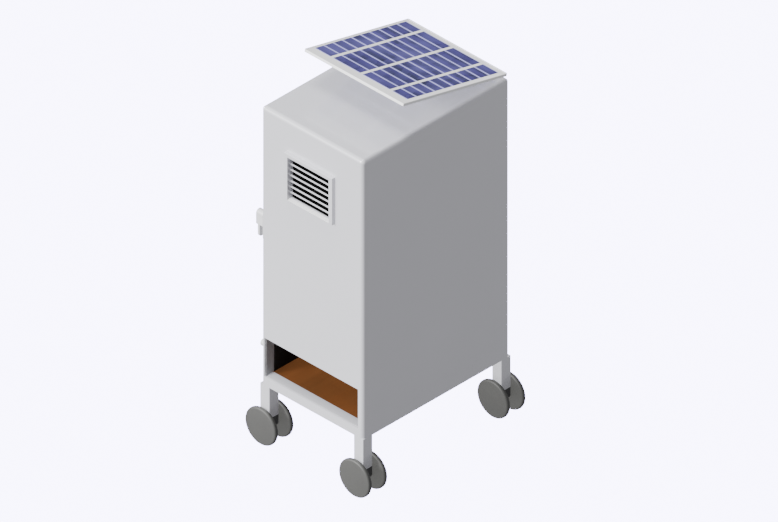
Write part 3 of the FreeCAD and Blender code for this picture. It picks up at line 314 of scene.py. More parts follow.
def make_board(name):
    """Film-faced board: brown resin film over faint long grain, with scuffs."""
    base = colours().board
    made = Finish(name, Coat_Roughness=0.25)
    long_grain = made.noise(38.0, 6.0, 0.6, made.place(scale=(1, 0.08, 1)))
    patches = made.noise(9.0, 3.0)
    scuffs = made.ramp(made.noise(55.0, 5.0, 0.7, made.place(scale=(0.25, 1, 1))), 0.60, 0.78)
    tone = made.mix(long_grain, shade(base, 0.62), shade(base, 1.45))
    tone = made.mix((patches * 0.5).limited(), tone, (0.26, 0.075, 0.018))
    tone = made.mix(scuffs * 0.35, tone, shade(base, 1.9))
    made.set(Base_Color=tone, Roughness=0.42 + long_grain * 0.2, Coat_Weight=0.15)
    return made.bump(long_grain, 0.0003, 0.4)


def moulded(name, base, roughness=0.5, grain=600.0, depth=0.00008):
    """Moulded plastic with a fine spark texture and slight mottling."""
    made = Finish(name)
    mottle = made.noise(25.0, 3.0)
    texture = made.noise(grain, 2.0)
    made.set(Base_Color=made.mix(mottle, shade(base, 0.88), shade(base, 1.14)),
             Roughness=roughness + texture * 0.12)
    return made.bump(texture, depth, 0.5)


# The bay lining is near-pure black as painted shade: it keeps the inside of the bay dark under the
# shadowless key lamp.
def make_shade_lining(name):
    return moulded(name, colours().shade_lining, 0.8)


def make_hub(name):
    return moulded(name, colours().hub, 0.55)


def make_plastic(name):
    return moulded(name, colours().plastic, 0.42)


def make_battery(name):
    return moulded(name, colours().battery, 0.4, 350.0, 0.00015)


def make_terminal(name):
    return moulded(name, colours().terminal, 0.4)


def make_lock(name):
    """Die-cast lock parts in a light satin paint."""
    return moulded(name, colours().lock, 0.34, 700.0, 0.00004)


def make_rubber(name):
    return moulded(name, colours().rubber, 0.75, 900.0, 0.0001)


def make_wheel(name):
    """Cast nylon with fine turning rings, mottling and a scuffed tread."""
    base = colours().wheel
    made = Finish(name)
    mottle = made.noise(16.0, 4.0)
    streak = made.noise(60.0, 3.0, 0.6, made.place(scale=(1, 1, 0.12)))
    worn = made.ramp(made.noise(120.0, 6.0, 0.7), 0.55, 0.8)
    tone = made.mix(mottle, shade(base, 0.88), shade(base, 1.10))
    tone = made.mix(streak * 0.35, tone, shade(base, 1.22))
    tone = made.mix(worn * 0.25, tone, shade(base, 0.6))
    made.set(Base_Color=tone, Roughness=0.5 + mottle * 0.15)
    return made.bump(made.noise(500.0, 3.0), 0.0001, 0.4)


def metal(name, base, roughness, scale=(1, 1, 1)):
    """Metal with fine drawn lines and patchy oxide."""
    made = Finish(name, Metallic=1.0)
    lines = made.noise(260.0, 4.0, 0.6, made.place(scale=scale))
    patches = made.noise(30.0, 4.0)
    made.set(Base_Color=made.mix(patches, shade(base, 0.85), shade(base, 1.08)),
             Roughness=roughness + lines * 0.15 + patches * 0.08)
    return made.bump(lines, 0.00004, 0.4)


def make_steel(name):
    return metal(name, colours().steel, 0.28)


def make_key(name):
    return metal(name, shade(colours().steel, 1.25), 0.14)


def make_aluminium(name):
    return metal(name, colours().aluminium, 0.3, (1, 0.05, 1))


def make_foam_slot_shade(name):
    """Open black foam; its near-zero colour and missing sheen are painted shade in the louvre slots."""
    made = Finish(name, Roughness=0.95, Specular_IOR_Level=0.0)
    pores = made.cells(420.0)
    # Near-zero colours: painted shade behind the louvre blades.
    made.set(Base_Color=made.mix(pores, (0.0008, 0.0008, 0.0008), (0.004, 0.004, 0.004)))
    return made.bump(pores, 0.001, 0.8)


def make_webbing(name):
    """Woven strap: crossed ribs in a black yarn."""
    made = Finish(name, Roughness=0.85)
    ribs = made.node("ShaderNodeTexWave", {"wave_type": "BANDS", "bands_direction": "X"},
                     {"Vector": made.place(), "Scale": 160.0, "Distortion": 0.3}, "Fac")
    picks = made.node("ShaderNodeTexWave", {"wave_type": "BANDS", "bands_direction": "Y"},
                      {"Vector": made.place(), "Scale": 110.0, "Distortion": 0.3}, "Fac")
    weave = ribs * picks
    made.set(Base_Color=made.mix(weave, (0.012, 0.012, 0.013), (0.05, 0.05, 0.054)))
    return made.bump(weave, 0.0004, 0.8)


def make_white(name):
    """White coated metal and backing film, faintly uneven."""
    base = colours().white
    made = Finish(name, Coat_Roughness=0.08)
    cloud = made.noise(6.0, 3.0)
    made.set(Base_Color=made.mix(cloud, shade(base, 0.97), shade(base, 1.02)),
             Roughness=0.35 + cloud * 0.08, Coat_Weight=0.25)
    return made.bump(made.noise(500.0, 2.0), 0.00004, 0.3)


def make_cell(name):
    """Cells under glass: each strip runs from slate to violet, with grain and pale patches."""
    made = Finish(name, Coat_Roughness=0.05, Coat_IOR=1.5, Specular_IOR_Level=0.25)
    pivot, slope = panel_frame()
    pitch = sizes().cells_long / STRIPS
    run = (made.along("Y") - pivot.y) * math.cos(slope) + (made.along("Z") - pivot.z) * math.sin(slope)
    phase = ((run - strips_start()) / pitch).fraction()
    grain = made.cells(60.0, made.place(scale=(1, 0.35, 1)), "Color")
    speck = made.along("X", grain)
    patch = made.ramp(made.noise(9.0, 2.0), 0.48, 0.72)
    base, light = colours().cell, colours().cell_light
    tone = made.mix(made.ramp(phase, 0.25, 0.8), (0.012, 0.014, 0.055), base)
    tone = made.mix((speck * 0.3).limited(), tone, light)
    tone = made.mix(patch * 0.55, tone, light)
    made.set(Base_Color=tone, Roughness=0.3 + speck * 0.1, Coat_Weight=0.15 + patch * 0.1)
    return made


def make_ribbon(name):
    """Pale tinned ribbons and the lit edges of the cells."""
    base = colours().ribbon
    made = Finish(name, Coat_Roughness=0.05)
    cloud = made.noise(40.0, 3.0)
    made.set(Base_Color=made.mix(cloud, shade(base, 0.8), shade(base, 1.15)),
             Roughness=0.35 + cloud * 0.1, Coat_Weight=0.5)
    return made


RECIPES = {
    "cabinet_paint": make_cabinet_paint, "frame_paint": make_frame_paint, "board_brown": make_board,
    "liner_black": make_shade_lining, "wheel_grey": make_wheel, "hub_dark": make_hub, "bare_steel": make_steel,
    "lock_grey": make_lock, "lock_metal": make_key, "gasket_rubber": make_rubber, "filter_foam": make_foam_slot_shade,
    "fan_black": make_plastic, "battery_case": make_battery, "strap_webbing": make_webbing,
    "unit_blue": make_unit_paint, "unit_grey": make_casing_paint, "terminal_green": make_terminal,
    "panel_white": make_white, "solar_glass": make_cell, "cell_ribbon": make_ribbon,
    "rail_aluminium": make_aluminium,
}


# ---------------------------------------------------------------- modelling helpers

def clear_selection():
    """Leave edit mode and deselect everything."""
    if bpy.context.object and bpy.context.object.mode != "OBJECT":
        bpy.ops.object.mode_set(mode="OBJECT")
    bpy.ops.object.select_all(action="DESELECT")


def pick(*objects):
    """Select some objects and make the first one active."""
    clear_selection()
    for thing in objects:
        thing.select_set(True)
    bpy.context.view_layer.objects.active = objects[0]


@contextmanager
def editing(thing, mode="FACE"):
    """Edit mode on one object, with nothing selected at the start."""
    pick(thing)
    bpy.ops.object.mode_set(mode="EDIT")
    bpy.ops.mesh.select_mode(type=mode)
    bpy.ops.mesh.select_all(action="DESELECT")
    yield thing
    bpy.ops.object.mode_set(mode="OBJECT")


def choose(thing, test, kind="polygons"):
    """Select the faces or edges that pass a test; call it inside editing()."""
    bpy.ops.object.mode_set(mode="OBJECT")
    mesh = thing.data
    for elements in (mesh.vertices, mesh.edges, mesh.polygons):
        for element in elements:
            element.select = False
    chosen = [element for element in getattr(mesh, kind) if test(mesh, element)]
    for element in chosen:
        element.select = True
        for index in element.vertices:
            mesh.vertices[index].select = True
    bpy.ops.object.mode_set(mode="EDIT")
    if not chosen:
        raise RuntimeError(f"{thing.name}: no {kind} chosen")


def facing(direction):
    """Test for faces whose normal points that way."""
    aim = Vector(direction).normalized()
    return lambda mesh, face: face.normal.dot(aim) > ALIGNED


def edge_along(axis, *limits):
    """Test for edges along an axis whose middle passes every limit."""
    def test(mesh, edge):
        first, second = (mesh.vertices[index].co for index in edge.vertices)
        line, middle = second - first, (first + second) / 2
        if line.length < 1e-7 or abs(line.normalized()["xyz".index(axis)]) < ALIGNED:
            return False
        return all(limit(middle) for limit in limits)
    return test


def edge_at(axis, level):
    """Test for edges that lie at one level of an axis."""
    side = "xyz".index(axis)
    return lambda mesh, edge: all(abs(mesh.vertices[index].co[side] - level) < SNAP
                                  for index in edge.vertices)


def edge_across(axis):
    """Test for edges whose two ends are at the same level of an axis."""
    def test(mesh, edge):
        first, second = (mesh.vertices[index].co["xyz".index(axis)] for index in edge.vertices)
        return abs(first - second) < SNAP
    return test


def block(name, low, high):
    """A box between two corners."""
    clear_selection()
    bpy.ops.mesh.primitive_cube_add(size=1, location=middle_of(low, high))
    made = bpy.context.object
    made.name = name
    made.scale = [abs(b - a) for a, b in zip(low, high)]
    bpy.ops.object.transform_apply(location=True, rotation=True, scale=True)
    return made


TURNS = {"x": (0, math.pi / 2, 0), "y": (-math.pi / 2, 0, 0)}


def round_bar(name, axis, radius, start, end, centre, sides=48):
    """A cylinder along X or Y between two coordinates; centre gives the other two."""
    place = list(centre)
    place.insert("xyz".index(axis), (start + end) / 2)
    clear_selection()
    bpy.ops.mesh.primitive_cylinder_add(vertices=sides, radius=radius, depth=abs(end - start),
                                        location=place, rotation=TURNS[axis])
    made = bpy.context.object
    made.name = name
    bpy.ops.object.transform_apply(location=True, rotation=True, scale=True)
    return made


def bevel(thing, width, test, segments=3):
    """Round the edges that pass a test."""
    with editing(thing, "EDGE"):
        choose(thing, test, "edges")
        bpy.ops.mesh.bevel(offset=width, segments=segments, profile=0.5, affect="EDGES",
                           clamp_overlap=True)
    return thing


def modify(thing, kind, **settings):
    """Add a modifier and apply it."""
    pick(thing)
    made = thing.modifiers.new(kind.lower(), kind)
    for name, value in settings.items():
        setattr(made, name, value)
    bpy.ops.object.modifier_apply(modifier=made.name)
    return thing


def carve(thing, *tools, operation="DIFFERENCE"):
    """Take tools away from a thing and remove them."""
    for tool in tools:
        modify(thing, "BOOLEAN", operation=operation, object=tool, solver="EXACT")
        bpy.data.objects.remove(tool)
    return thing


def weld(thing, *parts):
    """Add parts to a thing as one closed body."""
    return carve(thing, *parts, operation="UNION")


def merge(*things):
    """Join things into the first one."""
    pick(*things)
    bpy.ops.object.join()
    return things[0]


def copy(thing, name, shift=(0, 0, 0)):
    """A copy with its own mesh, moved."""
    made = thing.copy()
    made.data = thing.data.copy()
    made.name = name
    bpy.context.scene.collection.objects.link(made)
    pick(made)
    made.location = shift
    bpy.ops.object.transform_apply(location=True, rotation=True, scale=True)
    return made


def turned(thing, angle, axis, centre):
    """Turn a mesh about a line through centre."""
    with editing(thing):
        bpy.ops.mesh.select_all(action="SELECT")
        bpy.ops.transform.rotate(value=angle, orient_axis=axis.upper(), orient_type="GLOBAL",
                                 center_override=centre)
    return thing


def soften(thing, width=0.0006, angle=32, segments=2):
    """Break the sharp edges with a fine bevel and shade smoothly."""
    if width:
        modify(thing, "BEVEL", width=width, segments=segments, limit_method="ANGLE",
               angle_limit=math.radians(angle), harden_normals=False)
    pick(thing)
    bpy.ops.object.shade_smooth_by_angle(angle=math.radians(angle))
    return thing


def done(thing, body, slot, stands_for=(), material=None):
    """Name the finish of a finished piece and hang it on its body."""
    with editing(thing):
        bpy.ops.mesh.select_all(action="SELECT")
        bpy.ops.mesh.normals_make_consistent(inside=False)
    modify(thing, "WEIGHTED_NORMAL", keep_sharp=True)
    thing.data.materials.clear()
    thing.data.materials.append(finish(material or slot))
    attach(thing, body)
    if stands_for:
        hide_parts(*stands_for)
    clear_selection()
    return thing


def ends(node):
    """Low and high corner of a CAD node as two lists."""
    low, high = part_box(node)
    return list(low), list(high)


def middle_of(low, high):
    """The point halfway between two corners."""
    return [(a + b) / 2 for a, b in zip(low, high)]


def grown(low, high, by):
    """A box grown by an amount on each axis."""
    return [a - b for a, b in zip(low, by)], [a + b for a, b in zip(high, by)]


# ---------------------------------------------------------------- the pieces

def folded_edge(right, front, top):
    """Test for the large radius: the front right upright and the roof's front and right edges."""
    planes = (edge_at("x", right), edge_at("y", front), edge_at("z", top))
    return lambda mesh, edge: sum(plane(mesh, edge) for plane in planes) >= 2


def model_cabinet():
    """The folded skin with its openings, welded at rounded edges."""
    size = sizes()
    low, high = ends("cabinet_shell")
    (left, front, base), (right, rear, top) = low, high
    skin = block("cabinet_skin", low, high)
    lower_edge = edge_at("z", base)
    with editing(skin, "EDGE"):
        choose(skin, lambda mesh, edge: not lower_edge(mesh, edge), "edges")
        bpy.ops.transform.edge_bevelweight(value=size.seam / size.corner)
    with editing(skin, "EDGE"):
        choose(skin, folded_edge(right, front, top), "edges")
        bpy.ops.transform.edge_bevelweight(value=1.0)
    modify(skin, "BEVEL", width=size.corner, segments=8, limit_method="WEIGHT")
    with editing(skin):
        choose(skin, facing((0, 0, -1)))
        bpy.ops.mesh.delete(type="FACE")
    with editing(skin):
        bpy.ops.mesh.select_all(action="SELECT")
        bpy.ops.mesh.normals_make_consistent(inside=False)
    modify(skin, "SOLIDIFY", thickness=size.sheet, offset=-1.0, use_even_offset=True)
    vent_low, vent_high = ends("filter_pad")
    through, round_vent = size.corner * 0.9, 0.003
    carve(
        skin,
        block("cut_bay", (left + size.bay_left, front - PAST, base + SILL_TOP),
              (right - size.bay_right, front + through * 1.6, base + size.bay_top)),
        block("cut_vent", (vent_low[0] - round_vent, front - PAST, vent_low[2] - round_vent),
              (vent_high[0] + round_vent, front + through, vent_high[2] + round_vent)),
        block("cut_door", (left - PAST, front + DOOR_FRONT, base + size.door_low),
              (left + through, rear - size.frame_width, top - size.door_top)),
        block("cut_rear", (left + size.rear_side, rear - through, base + size.rear_low),
              (right - size.rear_side, rear + PAST, top - size.rear_top)),
        round_bar("cut_gland", "y", GLAND_HOLE, rear - through, rear + PAST,
                  (right - GLAND_SIDE, top - GLAND_DROP), sides=32),
    )
    soften(skin, angle=38)
    done(skin, "cabinet", "cabinet_paint", ["cabinet_shell"])


def model_base():
    """Base tubes with rounded corners, and the legs with sloped tops where they stand proud."""
    for name in ("front", "rear", "left", "right"):
        node = f"base_tube_{name}"
        low, high = ends(node)
        axis = "x" if name in ("front", "rear") else "y"
        tube = block(f"{name}_tube", low, high)
        bevel(tube, 0.0025, edge_along(axis), segments=4)
        wall, open_end = sizes().tube_wall, -0.001
        shrink = (open_end, wall, wall) if axis == "x" else (wall, open_end, wall)
        carve(tube, block("cut_tube", *grown(low, high, [-value for value in shrink])))
        soften(tube, width=0)
        done(tube, "cabinet", "cabinet_paint", [node])
    for corner in CORNERS:
        node = f"leg_{corner}"
        low, high = ends(node)
        leg = block(f"{corner}_leg", low, high)
        bevel(leg, LEG_EDGE, edge_along("z"), segments=4)
        if corner != "front_right":
            axis, side, outside = ("y", 0, low[0]) if "left" in corner else ("x", 1, high[1])
            bevel(leg, LEG_SLOPE, edge_along(axis, lambda middle: middle.z > high[2] - 1e-4,
                                             lambda middle: abs(middle[side] - outside) < 0.001), segments=1)
        soften(leg, 0.0008)
        done(leg, "cabinet", "cabinet_paint", [node])


def bulge(disc, side, level, crown, rise):
    """Dome the flat face that lies at a level across Y, by rings of insets pushed outwards."""
    shares = [1 - step / (DOME_RINGS + 0.6) for step in range(DOME_RINGS + 1)]
    with editing(disc):
        choose(disc, lambda mesh, face: abs(face.center.y - level) < SNAP and abs(face.normal.y) > ALIGNED)
        for outer, inner in zip(shares, shares[1:]):
            bpy.ops.mesh.inset(thickness=crown * (outer - inner))
            bpy.ops.transform.translate(value=(0, side * rise * (outer ** 2 - inner ** 2), 0))


def wheel_disc(name, node):
    """A solid disc with a rounded rim, domed faces and a bored collar, its outer face to the front."""
    size = sizes()
    low, high = ends(node)
    radius, (x, _, z) = (high[2] - low[2]) / 2, middle_of(low, high)
    back_dome, crown = size.dome / 3, radius - size.rim
    start, end = low[1] + size.dome, low[1] + WHEEL_THICK - back_dome
    disc = round_bar(name, "y", radius, start, end, (x, z), sides=72)
    bevel(disc, size.rim, edge_across("y"), segments=6)
    bulge(disc, -1, start, crown, size.dome)
    bulge(disc, 1, end, crown, back_dome)
    tip = low[1] + WHEEL_THICK + WHEEL_COLLAR
    weld(disc, round_bar("collar", "y", COLLAR_RADIUS, end - 0.004, tip, (x, z)))
    carve(disc, round_bar("cut_bore", "y", BORE, tip - BORE_DEPTH, tip + PAST, (x, z)))
    soften(disc, width=0, angle=40)
    return disc


def model_wheels():
    """Eight discs, each on its own joint, with their closed faces outwards."""
    first_node = "wheel_front_left_outer"
    master = wheel_disc("wheel_master", first_node)
    start = middle_of(*ends(first_node))
    for corner in CORNERS:
        for side in ("outer", "inner"):
            node = f"wheel_{corner}_{side}"
            here = middle_of(*ends(node))
            disc = copy(master, f"{node}_disc")
            if ("front" in corner) != (side == "outer"):
                with editing(disc):
                    bpy.ops.mesh.select_all(action="SELECT")
                    bpy.ops.transform.resize(value=(1, -1, 1), orient_type="GLOBAL",
                                             center_override=start)
            pick(disc)
            disc.location = [b - a for a, b in zip(start, here)]
            bpy.ops.object.transform_apply(location=True, rotation=True, scale=True)
            done(disc, node, "wheel_grey", [node])
    bpy.data.objects.remove(master)


def model_louvre():
    """The proud frame with its sleeve and header, the sloped sill strip in white as a painted highlight of
    its lit top, and the seven blades.
    """
    low, high = ends("louvre_frame")
    hole_low, hole_high = ends("filter_pad")
    blade_low, blade_high = ends("louvre_blades")
    skin_front, blade_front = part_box("cabinet_shell")[0].y, blade_low[1]
    surround = block("louvre_surround", low, (high[0], skin_front, high[2]))
    bevel(surround, 0.002, edge_at("y", low[1]), segments=3)
    carve(surround, block("cut_hole", (hole_low[0], low[1] - PAST, hole_low[2]),
                          (hole_high[0], skin_front + PAST, hole_high[2])))
    sleeve = block("sleeve", (hole_low[0] - SKIN, skin_front - 0.001, hole_low[2] - SKIN),
                   (hole_high[0] + SKIN, high[1], hole_high[2] + SKIN))
    carve(sleeve, block("cut_sleeve", (hole_low[0], skin_front - PAST, hole_low[2]),
                        (hole_high[0], high[1] + PAST, hole_high[2])))
    soften(surround, 0.0005)
    header = block("header", (hole_low[0], blade_front, blade_low[2] + BLADES * BLADE_PITCH),
                   (hole_high[0], blade_front + BLADE_SHEET, hole_high[2]))
    done(merge(surround, sleeve, header), "cabinet", "cabinet_paint", ["louvre_frame"])
    # The sill strip takes the white panel finish rather than the cabinet paint: a painted highlight for its
    # lit, upward-facing top.
    strip = block("louvre_sill", (hole_low[0], low[1] + STRIP_EDGE, hole_low[2]),
                  (hole_high[0], blade_front - FIT, hole_low[2] + STRIP_EDGE))
    with editing(strip, "EDGE"):
        choose(strip, edge_along("x", lambda middle: middle.y > blade_front - STRIP_EDGE,
                                 lambda middle: middle.z > hole_low[2] + FIT), "edges")
        bpy.ops.transform.translate(value=(0, 0, STRIP_RISE))
    soften(strip, width=0)
    done(strip, "cabinet", "panel_white")
    start, blade_back = blade_low[2] + BLADE_LIFT, blade_front + BLADE_DEPTH
    blade = block("louvre_blade_0", (blade_low[0], blade_front, start),
                  (blade_high[0], blade_back, start + BLADE_SHEET))
    with editing(blade, "EDGE"):
        choose(blade, edge_at("y", blade_back), "edges")
        bpy.ops.transform.translate(value=(0, 0, BLADE_RISE))
    soften(blade, 0.0004)
    for number in range(1, BLADES):
        other = copy(blade, f"louvre_blade_{number}", (0, 0, number * BLADE_PITCH))
        done(other, "cabinet", "cabinet_paint")
    done(blade, "cabinet", "cabinet_paint", ["louvre_blades"])


def model_door():
    """The side door: a tray with rounded folded edges and a hole for each lock."""
    low, high = ends("side_door")
    door = block("door_leaf", low, high)
    bevel(door, 0.005, edge_along("x"), segments=5)
    bevel(door, 0.003, edge_at("x", low[0]), segments=4)
    hollow = block("cut_door_tray", [value + SKIN for value in low],
                   (high[0] + PAST, high[1] - SKIN, high[2] - SKIN))
    lock_y = middle_of(*ends("key_barrel"))[1]
    holes = [round_bar("cut_shaft", "x", SHAFT_HOLE, low[0] - PAST, high[0],
                       (lock_y, middle_of(*ends(node))[2]), sides=32)
             for node in ("key_barrel", "lower_lock")]
    carve(door, hollow, *holes)
    soften(door, 0.0004)
    done(door, "door", "cabinet_paint", ["side_door"])


def key_slot(x, y, z):
    """The cutter for a key's slot in a face that looks along -X."""
    return block("cut_keyway", (x - PAST, y - SLOT_HALF, z - SLOT_LONG),
                 (x + SLOT_DEEP, y + SLOT_HALF, z + SLOT_LONG))


def model_latch():
    """The back plate, the turning handle with its grip, and the key barrel."""
    low, high = ends("latch_plate")
    barrel_low, barrel_high = ends("key_barrel")
    handle_low, handle_high = ends("latch_handle")
    _, y, z = middle_of(barrel_low, barrel_high)
    plate = block("latch_base", low, high)
    bevel(plate, 0.006, edge_along("x"), segments=5)
    bevel(plate, 0.0015, edge_at("x", low[0]), segments=3)
    carve(plate, round_bar("cut_shaft", "x", SHAFT_HOLE, low[0] - PAST, high[0] + PAST, (y, z), sides=32))
    soften(plate, 0.0003)
    done(plate, "door", "lock_grey", ["latch_plate"])
    outer = low[0] - FIT
    boss = round_bar("latch_lever", "x", LATCH_HUB, handle_low[0], outer, (y, z), sides=64)
    root = block("root", (handle_low[0], y - LATCH_HUB, z - LATCH_BLOCK), (outer, y + LATCH_HUB, z))
    bevel(root, 0.004, edge_along("x", lambda middle: middle.z < z - 0.03), segments=4)
    grip = block("grip", (BODY_LEFT - GRIP_FAR, y - GRIP_HALF, handle_low[2]),
                 (BODY_LEFT - GRIP_NEAR, y + GRIP_HALF, z - 0.01))
    bevel(grip, 0.0085, edge_along("x", lambda middle: middle.z < z - 0.05), segments=6)
    shaft = round_bar("shaft", "x", LOCK_SHAFT, outer - 0.001, handle_high[0], (y, z), sides=32)
    weld(boss, root, grip, shaft)
    carve(boss, round_bar("cut_key", "x", KEY_HOLE, handle_low[0] - PAST, barrel_high[0], (y, z)))
    soften(boss, 0.0011, angle=35, segments=3)
    done(boss, "latch", "lock_grey", ["latch_handle"])
    key = round_bar("key_cylinder", "x", KEY_RADIUS, barrel_low[0], barrel_high[0], (y, z))
    carve(key, key_slot(barrel_low[0], y, z))
    soften(key, 0.0004)
    done(key, "key", "lock_metal", ["key_barrel"])
    model_small_lock(y)


def model_small_lock(y):
    """The small round lock near the foot of the door."""
    low, high = ends("lower_lock")
    z, face = middle_of(low, high)[2], BODY_LEFT - DOOR_PROUD - FIT
    knob = round_bar("small_lock_face", "x", KNOB_RADIUS, low[0], face, (y, z), sides=64)
    bevel(knob, 0.0022, edge_at("x", low[0]), segments=4)
    carve(knob, key_slot(low[0], y, z))
    shaft = round_bar("lock_shaft", "x", LOCK_SHAFT, face - 0.001, high[0], (y, z), sides=32)
    soften(knob, 0.0003)
    done(merge(knob, shaft), "small_lock", "lock_grey", ["lower_lock"])


def model_rear():
    """The screwed rear cover with pressed slots, and its screws."""
    low, high = ends("rear_cover")
    cover = block("rear_hatch", low, high)
    bevel(cover, 0.005, edge_along("y"), segments=5)
    bevel(cover, 0.003, edge_at("y", high[1]), segments=4)
    tools = [block("cut_tray", (low[0] + SKIN, low[1] - PAST, low[2] + SKIN),
                   [value - SKIN for value in high])]
    middle, roof = middle_of(low, high)[0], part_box("cabinet_shell")[1].z
    for number in range(VENTS):
        level = roof - VENT_DROP - number * VENT_PITCH
        slot = block(f"cut_slot_{number}", (middle - VENT_HALF, high[1] - 0.008, level),
                     (middle + VENT_HALF, high[1] + PAST, level + VENT_HIGH))
        bevel(slot, 0.0028, edge_along("y"), segments=4)
        tools.append(slot)
    carve(cover, *tools)
    soften(cover, 0.0004)
    done(cover, "cabinet", "cabinet_paint", ["rear_cover"])
    model_screws()


def model_screws():
    """Six domed screw heads with cross slots, in two rows."""
    low, high = ends("rear_cover_screws")
    floor, face = high[1] - CROSS_DEEP, high[1] + PAST
    heads = []
    for x in (low[0] + SCREW, high[0] - SCREW):
        for z in (low[2] + SCREW, (low[2] + high[2]) / 2, high[2] - SCREW):
            head = round_bar(f"screw_{len(heads)}", "y", SCREW, low[1], high[1], (x, z), sides=32)
            bevel(head, 0.0012, edge_at("y", high[1]), segments=3)
            carve(head, *[block("cut_cross", (x - across, floor, z - up), (x + across, face, z + up))
                          for across, up in ((CROSS_LONG, CROSS_HALF), (CROSS_HALF, CROSS_LONG))])
            heads.append(head)
    done(soften(merge(*heads), width=0), "cabinet", "bare_steel", ["rear_cover_screws"])


def strips_start():
    """Where the first strip starts, along the panel from the hinge axis."""
    return (PANEL_TAIL - PANEL_REACH) / 2 + BANDS_BACK - sizes().cells_long / 2


def panel_frame():
    """Hinge axis and slope of the panel at rest."""
    low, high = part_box("panel_hinge_pins")
    return Vector((PANEL_X, (low.y + high.y) / 2, (low.z + high.z) / 2)), sizes().tilt


def panel_part(thing):
    """Turn a piece modelled flat on the hinge axis to the panel's slope."""
    pivot, slope = panel_frame()
    return turned(thing, slope, "x", pivot)


def band_edges(centre):
    """Left and right of the four bands of cells, half bands outside."""
    size = sizes()
    bands = [size.half_cell, size.cell, size.cell, size.half_cell]
    width = sum(bands) + size.cell_gap * (len(bands) - 1)
    edges, x = [], centre - width / 2
    for band in bands:
        edges.append((x, x + band))
        x += band + size.cell_gap
    return edges


def plate(name, left, right, start, end, level, thickness):
    """A thin plate on a level, standing up or, with a negative thickness, hanging down."""
    lower, upper = sorted((level, level + thickness))
    return block(name, (left, start, lower), (right, end, upper))


def model_cells(name, level, thickness, start):
    """One face of the panel: cells in bands and strips, and the pale ribbons between them."""
    size = sizes()
    pitch = size.cells_long / STRIPS
    cells, ribbons = [], []
    for left, right in band_edges(PANEL_X + BANDS_RIGHT):
        for strip in range(STRIPS):
            near = start + strip * pitch
            cells.append(plate(f"cell_{len(cells)}", left, right, near + size.ribbon / 2,
                               near + pitch - size.ribbon / 2, level, thickness))
        ribbons.append(plate(f"ribbon_{len(ribbons)}", left, right, start, start + size.cells_long,
                             level, thickness / 2))
    for things, label, material in ((cells, "cells", "solar_glass"), (ribbons, "ribbons", "cell_ribbon")):
        piece = merge(*things)
        piece.name = f"panel_{name}_{label}"
        panel_part(piece)
        done(piece, "panel", "solar_glass", material=material)


def model_panel():
    """The tray with its rim, and the cells above and below."""
    pivot, _ = panel_frame()
    left, right = pivot.x - PANEL_HALF, pivot.x + PANEL_HALF
    front, rear = pivot.y - PANEL_REACH, pivot.y + PANEL_TAIL
    base, rim = pivot.z + PANEL_LIFT, sizes().panel_rim
    top = base + PANEL_THICK
    tray = block("panel_surround", (left, front, base), (right, rear, top))
    bevel(tray, 0.004, edge_along("z"), segments=4)
    carve(tray, block("cut_glass", (left + rim, front + rim, top - GLASS_RECESS),
                      (right - rim, rear - rim, top + PAST)))
    soften(tray)
    panel_part(tray)
    done(tray, "panel", "panel_white", ["panel_tray", "solar_laminate"])
    start = pivot.y + strips_start()
    model_cells("upper", top - GLASS_RECESS, CELL_THICK, start)
    model_cells("lower", base, -CELL_THICK, start)


def dress_cad():
    """Give every CAD node that is still shown its procedural finish."""
    slots = {entry["node"]: entry["material_slot"] for entry in frame["record"]["subparts"]}
    for name, node in frame["nodes"].items():
        if node.hide_render:
            continue
        node.data.materials.clear()
        node.data.materials.append(finish(slots[name]))


# ---------------------------------------------------------------- stage

def model_world():
    """A bright backdrop for the camera and an even, weaker fill for everything else."""
    world = bpy.data.worlds.new("studio")
    world.use_nodes = True
    bpy.context.scene.world = world
    nodes, links = world.node_tree.nodes, world.node_tree.links
    output = next(node for node in nodes if node.type == "OUTPUT_WORLD")
    shown, fill = nodes["Background"], nodes.new("ShaderNodeBackground")
    shown.inputs["Color"].default_value = (*colours().backdrop, 1.0)
    shown.inputs["Strength"].default_value = BACKDROP_SHOWN
    fill.inputs["Color"].default_value = (*FILL_COLOUR, 1.0)
    fill.inputs["Strength"].default_value = BACKDROP_FILL
    ray, mixed = nodes.new("ShaderNodeLightPath"), nodes.new("ShaderNodeMixShader")
    links.new(ray.outputs["Is Camera Ray"], mixed.inputs[0])
    links.new(fill.outputs[0], mixed.inputs[1])
    links.new(shown.outputs[0], mixed.inputs[2])
    links.new(mixed.outputs[0], output.inputs["Surface"])


def model_lamps():
    """Two key lamps in one direction, only the first with a shadow, and a weak lamp above."""
    for name, direction, strength, spread, shadow in (("key", KEY_FROM, KEY, 12, True),
                                                      ("open_key", KEY_FROM, OPEN_KEY, 12, False),
                                                      ("top", TOP_FROM, TOP, 20, True)):
        clear_selection()
        bpy.ops.object.light_add(type="SUN", location=[part * LAMP_DISTANCE for part in direction])
        lamp = bpy.context.object
        lamp.name = f"{name}_lamp"
        lamp.rotation_mode = "QUATERNION"
        lamp.rotation_quaternion = Vector(direction).to_track_quat("Z", "Y")
        lamp.data.energy = strength
        lamp.data.angle = math.radians(spread)
        lamp.data.use_shadow = shadow


def model_camera():
    """A parallel camera above the front right corner."""
    clear_selection()
    azimuth, elevation = math.radians(AZIMUTH), math.radians(ELEVATION)
    back = Vector((math.sin(azimuth) * math.cos(elevation), -math.cos(azimuth) * math.cos(elevation),
                   math.sin(elevation)))
    right = Vector((math.cos(azimuth), math.sin(azimuth), 0))
    aim = Vector(AIM) + right * AIM_RIGHT + back.cross(right) * AIM_UP
    bpy.ops.object.camera_add(location=aim + back * CAMERA_BACK)
    camera = bpy.context.object
    camera.rotation_mode = "QUATERNION"
    camera.rotation_quaternion = back.to_track_quat("Z", "Y")
    camera.data.type = "ORTHO"
    camera.data.ortho_scale = FRAME_WIDTH
    bpy.context.scene.camera = camera


